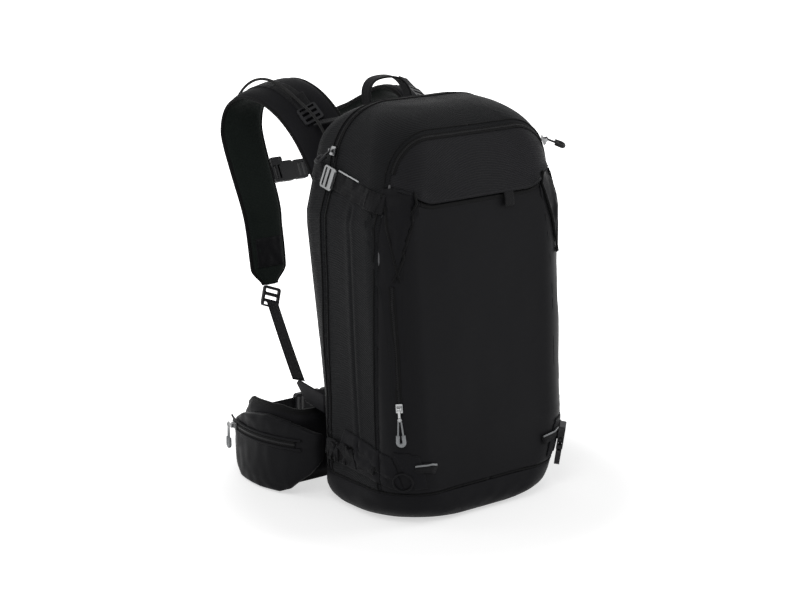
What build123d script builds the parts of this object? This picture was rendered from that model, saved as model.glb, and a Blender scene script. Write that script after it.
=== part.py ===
"""Avalanche airbag ski backpack of about 32 litres, standing on its base.

Frame: +Z up, -Y towards the outer front panel, +Y towards the wearer, -X on the wearer's left.
The origin is on the floor under the bag, and all sizes are in millimetres.
The sewn bag is a hollow loft through rounded sections. Everything that lies on the bag is cut
from a thin skin that follows the same sections a little further out.
"""
from build123d import *
import math
import os

# ---- the bag ----
BAG_H = 548
HIP_HALF_W = 151            # half the width at the floor, before the corners round off
SHOULDER_HALF_W = 159
SHOULDER_Z = BAG_H - 143    # the sides widen up to here, and lean in above
SIDE_LEAN = 14              # degrees that the sides lean in, up to the arc over the top
FRONT_BASE_Y = -117         # the front face, low down
FRONT_TOP_Y = -90           # the front face where the lid starts to round over
FRONT_LEAN_Z = 120          # the front face leans back above this height
BACK_Y = 98
WALL = 2.0                  # coated fabric with its lining
SIDE_TOP_R, FRONT_TOP_R, BACK_TOP_R = 80, 85, 60
BOTTOM_R = 26
FRONT_CORNER_R, FRONT_CORNER_LOW_R = 50, 105
FRONT_CORNER_BLEND_Z = 120  # the front corners grow rounder below this height
BACK_CORNER_R, BACK_CORNER_LOW_R = 28, 74
BACK_BLEND_Z0, BACK_BLEND_Z1 = 150, 385
GAP = 0.3                   # between a soft solid and what it lies on

# ---- how the bag is divided ----
MAIN_ZIP_Y = 41             # the rear arch zip runs over the top in this plane
LID_ZIP_Y = -70             # the front arch zip
LID_EDGE_Z = BAG_H - 114
BASE_SEAM_Z = 46
TAPE_T = 1.0
TAPE_LIFT = 0.8             # the tapes lie this far off the fabric
TAPE_W = 9
ARCH_START_Z = BAG_H - 74   # the arch zips end above the compression straps

# ---- webbing and buckles ----
WEB_T = 1.8
WEB_W = 25                  # compression straps and hip belt
NARROW_W = 20               # harness webbing
UPPER_STRAP_Z = BAG_H - 100
UPPER_STRAP_SLOPE = 10      # degrees, lower towards the front
LOWER_STRAP_Z = 82

# ---- harness ----
STRAP_X = 80                # centre of each shoulder strap
STRAP_T = 14
STRAP_CHEST_TOP = (344, 446)    # Y, Z at the ends of the straight chest run
STRAP_CHEST_LOW = (306, 366)
# Y, Z, width, roll in degrees: a shoulder strap's centre line, from the chest run down to its end
STRAP_LOWER = [(*STRAP_CHEST_TOP, 72, 0), (*STRAP_CHEST_LOW, 68, 0), (297, 332, 64, 0),
               (290, 292, 63, 0), (284, 250, 60, 0)]
# the same from the back panel over the shoulder; the left strap stands up and the right one has slumped
LEFT_UPPER = [(105.6, 412, 80, 0), (120, 446, 79, 12), (146, 482, 78, 24), (176, 508, 76, 31),
              (212, 527, 75, 29), (256, 537, 74, 22), (302, 531, 73, 12), (336, 509, 72, 4),
              (350, 478, 72, 0)]
RIGHT_UPPER = [(106.2, 426, 80, 0), (112, 462, 79, 8), (124, 496, 78, 16), (150, 521, 76, 22),
               (184, 528, 75, 18), (224, 514, 74, 12), (262, 499, 73, 8), (300, 486, 72, 4),
               (331, 470, 72, 0)]
STRAP_ROUTES = {-1: LEFT_UPPER + STRAP_LOWER, 1: RIGHT_UPPER + STRAP_LOWER}
LUMBAR_HALF_W, LUMBAR_T = 104, 15
LUMBAR_Z0 = 16
WING_Z0, WING_Z1 = 1, 122
WING_T = 13
# X, Y of the left hip wing's centre line, from the lumbar pad to the tip
WING_ROUTE = [(-LUMBAR_HALF_W - GAP, BACK_Y + 9), (-132, 106), (-153, 110), (-166, 127), (-171, 160),
              (-164, 206), (-141, 250), (-104, 277)]
# the hip pocket on the left wing: X, Y at its front end, its fullest point and its rear end
POCKET_ARC = [(-158, 54), (-199, 158), (-176, 246)]
# Y, Z of its outline seen from the side
POCKET_OUTLINE = [(50, 64), (54, 88), (96, 105), (138, 110), (200, 98), (236, 78), (250, 50), (240, 20),
                  (205, 1), (110, 1), (80, 24)]
BELT_Z = 60
BELT_Y = 278
BACK_PAD_T = 11
BACK_PAD_HALF_W = 112
BACK_PAD_Z0, BACK_PAD_Z1 = 122, 392

# ---- airbag system ----
BLOWER_Z, BLOWER_R, BLOWER_WALL = 300, 48, 2.0
IMPELLER_R, IMPELLER_BLADES = 42, 14
SHAFT_R, SHAFT_CLEARANCE = 2.0, 0.06
DUCT_X, DUCT_R, DUCT_WALL = 26, 13, 1.8
BLADDER_Z0, BLADDER_Z1, BLADDER_HALF_W = 380, BAG_H - 62, 92
FRAME_SHEET_T, STAY_T, STAY_W, STAY_X = 1.5, 3, 14, 56
FRAME_HALF_W = 74
FRAME_FACE_Y = BACK_Y - WALL - GAP - FRAME_SHEET_T
BLOWER_Y1 = FRAME_FACE_Y - GAP      # the blower and its electronics stand against the frame sheet
BLOWER_Y0 = BLOWER_Y1 - 42
FRAME_Z0, FRAME_Z1 = 52, BAG_H - 78
CABLE_R = 2.0

# ---- zips, their sliders and pulls ----
SIDE_ZIP_Z0, SIDE_ZIP_Z1 = 170, 330
SLIDER_L, SLIDER_W = 12, 9
PIN_R, PIN_Z = 0.9, 6.2
EYE_CLEARANCE = 0.2
PULL_TAB_L = 15
PULL_LEN, SHORT_PULL_LEN, BELT_PULL_LEN = 52, 28, 50
GRIP_R = 2.6
CORD_R = 1.1
PULL_TILT = 45              # the short pulls stand off their sliders
ARCH_TRAVEL_Z = BAG_H - 36      # a slider's centre reaches this height at the end of its modelled travel

# ---- harness details ----
STRAP_END = STRAP_LOWER[-1]
TAB_APEX = (-132, 140, 148)
TAB_ROOT_Y, TAB_Z0 = 60, WING_Z1 + 2
LIFTER_SEAT = 3             # the load lifter's buckle lies on this point of the strap's route
LIFTER_TOP_Z = BAG_H - 24   # where its webbing is sewn to the bag
LOCK_T = 4.5
POCKET_INNER_X = -142
BELT_ZIP_Z = 78
BELT_SLIDER_AT = 0.80       # share of the pocket's arc

# ---- hooks and loops ----
HOOK_Y = 40
HOOK_L, HOOK_H = 26, 30
HOOK_LIFT = 4.2             # a hook lies over the webbing, clear of the zip beneath
LOOP_Z = 66
HAUL_Z = BAG_H - 36         # the haul loop is sewn to the bag here

# ---- trigger, dock and cable ----
STEM_R, STEM_CLEARANCE, STEM_DEPTH = 4.0, 0.1, 19
HANDLE_L = 60
LEVER_X, LEVER_Z = -30, 216
HANDLE_X = -82
DOCK_L, DOCK_W, DOCK_T = 26, 19, 11
DOCK_TILT = 12              # degrees that the dock points away from the strap, so the handle pulls clear
CHEST_DOWN = (Vector(0, *STRAP_CHEST_LOW) - Vector(0, *STRAP_CHEST_TOP)).normalized()
CHEST_OUT = Vector(0, -CHEST_DOWN.Z, CHEST_DOWN.Y)
PULL_DIR = CHEST_DOWN * math.cos(math.radians(DOCK_TILT)) + CHEST_OUT * math.sin(math.radians(DOCK_TILT))
PULL_OUT = Vector(0, -PULL_DIR.Z, PULL_DIR.Y)
DOCK_LIFT = (STRAP_T + DOCK_T) / 2 + GAP * 2 + DOCK_L / 2 * math.sin(math.radians(DOCK_TILT))
DOCK_AT = Vector(HANDLE_X, *STRAP_CHEST_TOP) + CHEST_DOWN * 8 + CHEST_OUT * DOCK_LIFT
CABLE_END = DOCK_AT - PULL_DIR * (DOCK_L / 2 + GAP)
CABLE_LEAD = CABLE_END - PULL_DIR * 26
# the cable's route from the control box, up inside the bag and over the left shoulder strap
CABLE_ROUTE = [
    (-46 - GAP, BLOWER_Y1 - 20, 236), (-66, BLOWER_Y1 - 20, 236), (-86, 70, 262), (-98, 64, 310),
    (-106, 62, 358), (-110, 66, 398), (-109, 74, 436), (-106, 90, 470),
    (-102, 114, 498), (-98, 144, 518), (-95, 178, 530), (-92, 216, 543),
    (-88, 258, 552), (-84, 302, 549), (-82, 338, 533), (-82, 362, 508),
    (CABLE_LEAD.X, CABLE_LEAD.Y, CABLE_LEAD.Z), (CABLE_END.X, CABLE_END.Y, CABLE_END.Z),
]

BIG = 900                   # reaches past the whole pack
OUT = "parts"
os.makedirs(OUT, exist_ok=True)


# ---------------------------------------------------------------- the bag's sections
LEAN = math.radians(SIDE_LEAN)
SIDE_ARC_Z = BAG_H - SIDE_TOP_R
SIDE_TANGENT_Z = SIDE_ARC_Z + SIDE_TOP_R * math.sin(LEAN)
LID_HALF_W = SHOULDER_HALF_W - (SIDE_TANGENT_Z - SHOULDER_Z) * math.tan(LEAN)
SIDE_ARC_X = LID_HALF_W - SIDE_TOP_R * math.cos(LEAN)


def arc_reach(radius, rise):
    """How far an arc of a radius reaches sideways at a height above or below its centre."""
    return math.sqrt(max(0.0, radius ** 2 - rise ** 2))


def rounded_edge(wall, top_r, z, grow):
    """Distance of a wall from the axis at height z, rounding in at both ends, grown outwards."""
    if z > BAG_H - top_r:
        return wall - top_r + arc_reach(top_r + grow, z - (BAG_H - top_r))
    if z < BOTTOM_R:
        return wall - BOTTOM_R + arc_reach(BOTTOM_R + grow, BOTTOM_R - z)
    return wall + grow


def half_width(z, grow=0.0):
    if z > SIDE_TANGENT_Z + grow * math.sin(LEAN):
        return SIDE_ARC_X + arc_reach(SIDE_TOP_R + grow, z - SIDE_ARC_Z)
    if z > SHOULDER_Z:
        return SHOULDER_HALF_W - (z - SHOULDER_Z) * math.tan(LEAN) + grow / math.cos(LEAN)
    wall = HIP_HALF_W + (SHOULDER_HALF_W - HIP_HALF_W) * max(z, 0) / SHOULDER_Z
    return rounded_edge(wall, 0, z, grow)


def front_y(z, grow=0.0):
    lean_top = BAG_H - FRONT_TOP_R
    share = min(max((z - FRONT_LEAN_Z) / (lean_top - FRONT_LEAN_Z), 0), 1)
    wall = -(FRONT_BASE_Y + (FRONT_TOP_Y - FRONT_BASE_Y) * share)
    return -rounded_edge(wall, FRONT_TOP_R, z, grow)


def back_y(z, grow=0.0):
    return rounded_edge(BACK_Y, BACK_TOP_R, z, grow)


def front_corner_r(z, grow=0.0):
    low = max(0.0, 1 - z / FRONT_CORNER_BLEND_Z)
    radius = FRONT_CORNER_R + (FRONT_CORNER_LOW_R - FRONT_CORNER_R) * low ** 2 + grow
    depth = back_y(z, grow) - front_y(z, grow)
    return min(radius, half_width(z, grow) * 0.96, depth * 0.56)


def back_corner_r(z, grow=0.0):
    share = min(max((z - BACK_BLEND_Z0) / (BACK_BLEND_Z1 - BACK_BLEND_Z0), 0), 1)
    radius = BACK_CORNER_LOW_R + (BACK_CORNER_R - BACK_CORNER_LOW_R) * share + grow
    depth = back_y(z, grow) - front_y(z, grow)
    return min(radius, half_width(z, grow) * 0.9, depth * 0.4)


def section(z, grow=0.0):
    """The bag's outline at height z as a closed wire of four lines and four arcs."""
    w, yf, yb = half_width(z, grow), front_y(z, grow), back_y(z, grow)
    rf, rb = front_corner_r(z, grow), back_corner_r(z, grow)
    s = math.sqrt(0.5)

    def at(x, y):
        return Vector(x, y, z)

    return Wire([
        Edge.make_line(at(w, yf + rf), at(w, yb - rb)),
        Edge.make_three_point_arc(at(w, yb - rb), at(w - rb + rb * s, yb - rb + rb * s), at(w - rb, yb)),
        Edge.make_line(at(w - rb, yb), at(rb - w, yb)),
        Edge.make_three_point_arc(at(rb - w, yb), at(rb - w - rb * s, yb - rb + rb * s), at(-w, yb - rb)),
        Edge.make_line(at(-w, yb - rb), at(-w, yf + rf)),
        Edge.make_three_point_arc(at(-w, yf + rf), at(rf - w - rf * s, yf + rf - rf * s), at(rf - w, yf)),
        Edge.make_line(at(rf - w, yf), at(w - rf, yf)),
        Edge.make_three_point_arc(at(w - rf, yf), at(w - rf + rf * s, yf + rf - rf * s), at(w, yf + rf)),
    ])


def stations(grow=0.0):
    """Heights of the sections, close together where the bag rounds over."""
    low = [BOTTOM_R - (BOTTOM_R + grow) * math.cos(math.radians(a)) for a in range(0, 91, 15)]
    middle = [FRONT_CORNER_BLEND_Z * share for share in (0.4, 0.6, 0.8, 1)]
    middle += [BACK_BLEND_Z0, (BACK_BLEND_Z0 + BACK_BLEND_Z1) / 2, BACK_BLEND_Z1, SHOULDER_Z]
    middle += [BAG_H - FRONT_TOP_R, (BAG_H - FRONT_TOP_R + SIDE_TANGENT_Z) / 2]
    spread = [LEAN + (math.pi / 2 - LEAN) * k / 9 for k in range(10)]
    high = [SIDE_ARC_Z + (SIDE_TOP_R + grow) * math.sin(a) for a in spread]
    kept = []
    for z in sorted(low + middle + high):
        if not kept or z - kept[-1] > 0.3:
            kept.append(z)
    return kept[:-1] + [BAG_H + grow]


def bag_solid(grow=0.0, z0=None, z1=None):
    """The bag's outer form grown by a distance, or the stretch of it between two heights."""
    heights = stations(grow)
    if z0 is not None:
        low, high = max(z0, -grow), min(z1, BAG_H + grow)
        heights = [low] + [z for z in heights if low + 1 < z < high - 1] + [high]
    return Solid.make_loft([section(z, grow) for z in heights], ruled=True)


def skin(z0, z1, inner, outer):
    """A thin layer that follows the bag between two heights."""
    return bag_solid(outer, z0, z1) - bag_solid(inner, z0 - 2, z1 + 2)


def slab(x0, x1, y0, y1, z0, z1):
    return Pos((x0 + x1) / 2, (y0 + y1) / 2, (z0 + z1) / 2) * Box(x1 - x0, y1 - y0, z1 - z0)


def save(shape, node):
    """Writes one node, as a compound of its separate solids."""
    parts = shape if isinstance(shape, (list, tuple)) else [shape]
    solids = [solid for piece in parts for solid in piece.solids()]
    keep = solids[0] if len(solids) == 1 else Compound(children=list(solids))
    keep.label = node
    export_step(keep, f"{OUT}/{node}.step")
    return keep


def mirrored(shape):
    return shape.mirror(Plane.YZ)


def placed(shape, origin, along, normal):
    """Puts a shape drawn with +X along and +Z outwards at a point, turned to two directions."""
    along, normal = Vector(*along), Vector(*normal)
    along = along - normal * (along.dot(normal) / normal.dot(normal))
    return Plane(origin=origin, x_dir=along, z_dir=normal).location * shape


# ---------------------------------------------------------------- sewn shells
def build_shells():
    shell = bag_solid() - bag_solid(-WALL)
    above = slab(-BIG, BIG, -BIG, BIG, BASE_SEAM_Z, BIG)
    save(shell & slab(-BIG, BIG, -BIG, BIG, -BIG, BASE_SEAM_Z), "base_boot")
    upper = shell & above
    hole = cable_tube(CABLE_R + 0.5)
    save((upper & slab(-BIG, BIG, MAIN_ZIP_Y, BIG, 0, BIG)) - hole, "rear_compartment")
    save(upper & slab(-BIG, BIG, LID_ZIP_Y, MAIN_ZIP_Y, 0, BIG), "main_compartment")
    front = upper & slab(-BIG, BIG, -BIG, LID_ZIP_Y, 0, BIG)
    save(front & slab(-BIG, BIG, -BIG, BIG, 0, LID_EDGE_Z), "front_pocket")
    save(front & slab(-BIG, BIG, -BIG, BIG, LID_EDGE_Z, BIG), "lid_pocket")
    room = bag_solid(-WALL - GAP)
    save(room & slab(-BIG, BIG, LID_ZIP_Y, LID_ZIP_Y + WALL, -BIG, BIG), "pocket_divider")


# ---------------------------------------------------------------- zips
def corner_point(z, grow):
    """The middle of the front left corner at height z."""
    r = front_corner_r(z, grow)
    s = math.sqrt(0.5)
    return Vector(-half_width(z, grow) + r - r * s, front_y(z, grow) + r - r * s, z)


def arch_tape(y):
    layer = skin(ARCH_START_Z, BAG_H + 10, TAPE_LIFT, TAPE_LIFT + TAPE_T)
    return layer & slab(-BIG, BIG, y - TAPE_W / 2, y + TAPE_W / 2, ARCH_START_Z, BIG)


def side_tape():
    layer = skin(SIDE_ZIP_Z0 - SLIDER_L, SIDE_ZIP_Z1, TAPE_LIFT, TAPE_LIFT + TAPE_T)
    centre = corner_point((SIDE_ZIP_Z0 + SIDE_ZIP_Z1) / 2, 0)
    cut = Pos(centre.X, centre.Y, (SIDE_ZIP_Z0 + SIDE_ZIP_Z1) / 2) * Rot(0, 0, 45) * Box(50, TAPE_W, 400)
    return layer & cut


def slider_body():
    """A zip slider: a wedge body with two cheeks and a pin for the pull. +X is the way it travels."""
    body = Pos(0, 0, 1.1) * Box(SLIDER_L, SLIDER_W, 2.2)
    body += Pos(-1, 0, 3.1) * Box(SLIDER_L - 3, SLIDER_W - 2.4, 1.8)
    body = fillet(body.edges().filter_by(Axis.Z), 1.0)
    for side in (-1, 1):
        cheek = Pos(0, side * 2.6, PIN_Z - 1.2) * Box(4.6, 1.4, 4.8)
        body += fillet(cheek.edges().filter_by(Axis.Y), 1.2)
    return body + Pos(0, 0, PIN_Z) * Rot(90, 0, 0) * Cylinder(PIN_R, 5.2)


def pull_body(length, tilt=0, droop=0):
    """A zip pull: a metal tab towards -X from the slider's pin, a cord loop and a moulded grip.

    Tilt lifts the whole pull off the slider, and droop turns the cord about the slot in the tab.
    """
    eye = Pos(0, 0, PIN_Z) * Rot(90, 0, 0) * Cylinder(2.0, 3.0)
    tab = eye + Pos(-PULL_TAB_L / 2, 0, PIN_Z) * Box(PULL_TAB_L, 3.0, 1.8)
    tab -= Pos(0, 0, PIN_Z) * Rot(90, 0, 0) * Cylinder(PIN_R + EYE_CLEARANCE, 8)
    slot_x = -PULL_TAB_L + 2.6
    tab -= Pos(slot_x, 0, PIN_Z) * Cylinder(CORD_R, 6)
    half = 4.2
    end_x = -length + half + GRIP_R
    start = slot_x - CORD_R * 2
    spread = CORD_R * 1.5
    loop = [
        Edge.make_line((start, spread, PIN_Z), (end_x, half, PIN_Z)),
        Edge.make_three_point_arc((end_x, half, PIN_Z), (end_x - half, 0, PIN_Z), (end_x, -half, PIN_Z)),
        Edge.make_line((end_x, -half, PIN_Z), (start, -spread, PIN_Z)),
    ]
    path = Wire(loop)
    cord = sweep(Plane(path @ 0, z_dir=path % 0) * Circle(CORD_R), path=path, transition=Transition.ROUND)
    knot = Pos(start, 0, PIN_Z) * Sphere(CORD_R * 2.7)
    arc = Wire([
        Edge.make_line((end_x + 9, half * 0.86, PIN_Z), (end_x, half, PIN_Z)), loop[1],
        Edge.make_line((end_x, -half, PIN_Z), (end_x + 9, -half * 0.86, PIN_Z)),
    ])
    grip = sweep(Plane(arc @ 0, z_dir=arc % 0) * Circle(GRIP_R), path=arc, transition=Transition.ROUND)
    hanging = Pos(slot_x, 0, 0) * Rot(0, 0, droop) * Pos(-slot_x, 0, 0) * (knot + cord + grip)
    return Pos(0, 0, PIN_Z) * Rot(0, tilt, 0) * Pos(0, 0, -PIN_Z) * (tab + hanging)


def build_zips():
    save([arch_tape(MAIN_ZIP_Y), arch_tape(LID_ZIP_Y), side_tape(), belt_tape()], "zip_tapes")
    seat = TAPE_LIFT + TAPE_T + GAP
    # the side zip runs straight up the front left corner
    low, high = corner_point(SIDE_ZIP_Z0, seat), corner_point(SIDE_ZIP_Z1, seat)
    outward = Vector(-1, -1, 0)
    save(placed(slider_body(), low, high - low, outward), "side_zip_slider")
    save(placed(pull_body(PULL_LEN), low, high - low, outward), "side_zip_pull")
    # each arch zip's slider turns about the centre of a circle that follows its zip
    for name, y, side, n_y in (("main", MAIN_ZIP_Y, -1, 0.0), ("lid", LID_ZIP_Y, 1, -1.0)):
        centre, radius, stray = arch_circle(y, seat)
        z = ARCH_START_Z + SLIDER_L * 1.3
        lift = radius + stray + GAP
        angle = math.asin((z - centre[1]) / lift)
        radial = Vector(side * math.cos(angle), 0, math.sin(angle))
        origin = Vector(side * centre[0], y, centre[1]) + radial * lift
        along = Vector(-side * math.sin(angle), 0, math.cos(angle))
        normal = radial + Vector(0, n_y, 0)
        print(name, "zip turns about", [round(side * centre[0], 2), y, round(centre[1], 2)], "radius",
              round(radius, 2), "stray", round(stray, 2), "angle", round(math.degrees(angle), 1))
        save(placed(slider_body(), origin, along, normal), f"{name}_zip_slider")
        save(placed(pull_body(SHORT_PULL_LEN, PULL_TILT), origin, along, normal), f"{name}_zip_pull")
    # the belt zip's slider stands where the zip ends, at the rear of the hip pocket
    origin, along, normal = belt_zip_seat(seat)
    print("belt slider at", [round(v, 2) for v in origin], "along", [round(v, 3) for v in along])
    save(placed(slider_body(), origin, along, normal), "belt_zip_slider")
    save(placed(pull_body(BELT_PULL_LEN, droop=90), origin, along, normal), "belt_zip_pull")


def surface_x(y, z, grow):
    """The bag's half width at height z, in the plane of a given Y."""
    rf = front_corner_r(z, grow)
    edge = front_y(z, grow) + rf
    inset = rf - arc_reach(rf, edge - y) if y < edge else 0.0
    return half_width(z, grow) - inset


def rear_side_x(y, z, grow):
    """The bag's half width at height z, in the plane of a given Y at its rear corner."""
    rb = back_corner_r(z, grow)
    edge = back_y(z, grow) - rb
    return half_width(z, grow) - (rb - arc_reach(rb, y - edge) if y > edge else 0.0)


def arch_circle(y, seat):
    """The circle through three points of an arch zip, and how far the zip strays outside it."""
    low, high = ARCH_START_Z + SLIDER_L, ARCH_TRAVEL_Z
    heights = [low, (low + high) / 2, high]
    (xa, za), (xb, zb), (xc, zc) = [(surface_x(y, z, seat), z) for z in heights]
    d = 2 * (xa * (zb - zc) + xb * (zc - za) + xc * (za - zb))
    sa, sb, sc = xa ** 2 + za ** 2, xb ** 2 + zb ** 2, xc ** 2 + zc ** 2
    x0 = (sa * (zb - zc) + sb * (zc - za) + sc * (za - zb)) / d
    z0 = (sa * (xc - xb) + sb * (xa - xc) + sc * (xb - xa)) / d
    radius = math.hypot(xa - x0, za - z0)
    steps = [low + (high - low) * k / 20 for k in range(21)]
    stray = max(math.hypot(surface_x(y, z, seat) - x0, z - z0) - radius for z in steps)
    return (x0, z0), radius, stray


# ---------------------------------------------------------------- back system
def build_back():
    y0 = BACK_Y + GAP
    pad = slab(-BACK_PAD_HALF_W, BACK_PAD_HALF_W, y0, y0 + BACK_PAD_T, BACK_PAD_Z0, BACK_PAD_Z1)
    pad = fillet(pad.edges().filter_by(Axis.Y), 26)
    pad = fillet(pad.faces().sort_by(Axis.Y)[-1].edges(), 4)
    pad -= slab(-14, 14, y0 + 4, y0 + 30, BACK_PAD_Z0 - 5, BACK_PAD_Z1 + 5)
    for z in (190, 258, 326):
        pad -= slab(-BIG, BIG, y0 + BACK_PAD_T - 4, y0 + 30, z - 4, z + 4)
    save(pad, "back_pad")
    lumbar = slab(-LUMBAR_HALF_W, LUMBAR_HALF_W, y0, y0 + LUMBAR_T, LUMBAR_Z0, BACK_PAD_Z0 - 6)
    save(fillet(lumbar.faces().sort_by(Axis.Y)[-1].edges(), 3), "lumbar_pad")
    sheet = slab(-FRAME_HALF_W, FRAME_HALF_W, FRAME_FACE_Y, FRAME_FACE_Y + FRAME_SHEET_T, FRAME_Z0, FRAME_Z1)
    save(fillet(sheet.edges().filter_by(Axis.Y), 30), "frame_sheet")
    stay_y = FRAME_FACE_Y - 0.05
    stays = [slab(x - STAY_W / 2, x + STAY_W / 2, stay_y - STAY_T, stay_y, FRAME_Z0 + 10, FRAME_Z1 - 12)
             for x in (-STAY_X, STAY_X)]
    save([fillet(s.edges().filter_by(Axis.Y), 6) for s in stays], "frame_stays")


# ---------------------------------------------------------------- harness
def strap_plane(i, side):
    """The plane of the strap's section at a point of its route, with its width along X."""
    route = STRAP_ROUTES[side]
    y, z, width, roll = route[i]
    before, after = route[max(i - 1, 0)], route[min(i + 1, len(route) - 1)]
    tangent = Vector(0, after[0] - before[0], after[1] - before[1]).normalized()
    normal = Vector(0, -tangent.Z, tangent.Y)
    a = math.radians(roll)
    across = Vector(-side * math.cos(a), 0, 0) + normal * math.sin(a)
    return Plane(origin=(side * STRAP_X, y, z), x_dir=across, z_dir=tangent), width


def shoulder_strap(side):
    wires = []
    for i in range(len(STRAP_ROUTES[side])):
        plane, width = strap_plane(i, side)
        wires.append((plane * RectangleRounded(width, STRAP_T, 5)).wire())
    return Solid.make_loft(wires, ruled=True)


def strip(points, width, thickness, width_dir):
    """Flat webbing through points, with its width along one direction."""
    pts = [Vector(*p) for p in points]
    wires = []
    for i, p in enumerate(pts):
        t = (pts[min(i + 1, len(pts) - 1)] - pts[max(i - 1, 0)]).normalized()
        wires.append((Plane(origin=p, x_dir=width_dir, z_dir=t) * Rectangle(width, thickness)).wire())
    return Solid.make_loft(wires, ruled=True)


def ladder_lock(width):
    """A ladder lock: a frame with two slots across the webbing, drawn with +X along the webbing."""
    frame = fillet(Box(30, width + 9, LOCK_T).edges().filter_by(Axis.Z), 4)
    for x, slot in ((-8.5, 5.2), (1.5, 5.2), (10.5, 4.0)):
        frame -= Pos(x, 0, 0) * Box(slot, width + 2, 10)
    return frame


def build_harness():
    save(shoulder_strap(-1), "shoulder_strap_left")
    save(shoulder_strap(1), "shoulder_strap_right")

    # ladder lock at the end of each strap, and the webbing down to the stabiliser tab
    end = Vector(-STRAP_X, STRAP_END[0], STRAP_END[1])
    down = (Vector(*TAB_APEX) - end).normalized()
    lock_at = end + Vector(0, -1.5, -19)
    lock = placed(ladder_lock(NARROW_W), lock_at, down, (0, 1, -0.25))
    save([lock, mirrored(lock)], "strap_ladder_locks")
    start = lock_at + down * 16.5
    webs = strip([start, Vector(*TAB_APEX) - down * 1.5], NARROW_W, WEB_T, (0.95, 0.3, 0))
    save([webs, mirrored(webs)], "strap_webbing")

    # triangular stabiliser tab from the bag's lower corner up to the webbing
    root = Vector(-rear_side_x(TAB_ROOT_Y, TAB_Z0 + 13, GAP + 1.2), TAB_ROOT_Y, 0)
    apex = Vector(TAB_APEX[0], TAB_APEX[1], 0)
    reach = (apex - root).length
    tri = Polyline((0, TAB_Z0), (0, TAB_Z0 + 26), (reach, TAB_APEX[2]), (reach + 8, TAB_APEX[2] - 6),
                   (reach * 0.7, TAB_Z0), close=True)
    plane = Plane(origin=root, x_dir=apex - root, z_dir=(apex - root).cross(Vector(0, 0, 1)))
    tab = extrude(plane * make_face(tri), 1.0, both=True)
    save([tab, mirrored(tab)], "strap_anchor_tabs")

    # load lifters from the top of the bag to the shoulder straps
    locks, webs = [], []
    for side in (-1, 1):
        plane, _ = strap_plane(LIFTER_SEAT, side)
        outer = plane.y_dir * side
        seat = Vector(*plane.origin) + outer * (STRAP_T / 2 + GAP + LOCK_T / 2 + 0.6)
        locks.append(placed(ladder_lock(NARROW_W), seat, plane.z_dir, outer))
        web_end = seat - plane.z_dir * 20.6 + outer * 3.2
        web_start = (side * (STRAP_X - 14), back_y(LIFTER_TOP_Z, GAP + WEB_T) + 3.9, LIFTER_TOP_Z)
        webs.append(strip([web_start, web_end], NARROW_W, WEB_T, (1, 0, -0.3 * side)))
    save(locks, "load_lifter_buckles")
    save(webs, "load_lifter_webbing")


# ---------------------------------------------------------------- hip belt
def offset_route(route, offset):
    """A plan route moved to its outer side."""
    points = []
    for i, (x, y) in enumerate(route):
        (xa, ya), (xb, yb) = route[max(i - 1, 0)], route[min(i + 1, len(route) - 1)]
        along = Vector(xb - xa, yb - ya).normalized()
        points.append((x - along.Y * offset, y + along.X * offset))
    return points


def wall_prism(outline, z0, z1):
    return Pos(0, 0, z0) * extrude(make_face(Polyline(*outline, close=True)), z1 - z0)


def from_side(points, x0, x1):
    """A prism along X whose outline is given as Y, Z."""
    return Pos(x0, 0, 0) * extrude(Plane.YZ * make_face(Polyline(*points, close=True)), x1 - x0)


def pocket_plan(grow=0.0):
    """The hip pocket's plan, from its outer arc in past the wing and the bag."""
    front, full, rear = [Vector(*p) for p in POCKET_ARC]
    out = (full - (front + rear) / 2).normalized() * grow
    arc = Edge.make_three_point_arc(front + out, full + out, rear + out)
    inner_rear, inner_front = Vector(POCKET_INNER_X, rear.Y), Vector(POCKET_INNER_X, front.Y)
    lines = [Edge.make_line(rear + out, inner_rear), Edge.make_line(inner_rear, inner_front),
             Edge.make_line(inner_front, front + out)]
    return make_face(Wire([arc] + lines))


def belt_zip_seat(seat):
    """Where the belt zip's slider sits: on the pocket's outer arc, at its rear end."""
    front, full, rear = [Vector(*p) for p in POCKET_ARC]
    arc = Edge.make_three_point_arc(front, full, rear)
    spot, tangent = arc @ BELT_SLIDER_AT, arc % BELT_SLIDER_AT
    normal = Vector(-tangent.Y, tangent.X)
    if normal.X > 0:        # outwards, away from the bag
        normal = normal * -1
    return Vector(spot.X, spot.Y, BELT_ZIP_Z) + normal * seat, tangent * -1, normal


def belt_tape():
    tape = extrude(pocket_plan(GAP + TAPE_T), WING_Z1) - extrude(pocket_plan(GAP), WING_Z1 + 5)
    return tape & slab(-BIG, -150, 84, 228, BELT_ZIP_Z - TAPE_W / 2, BELT_ZIP_Z + TAPE_W / 2)


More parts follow.
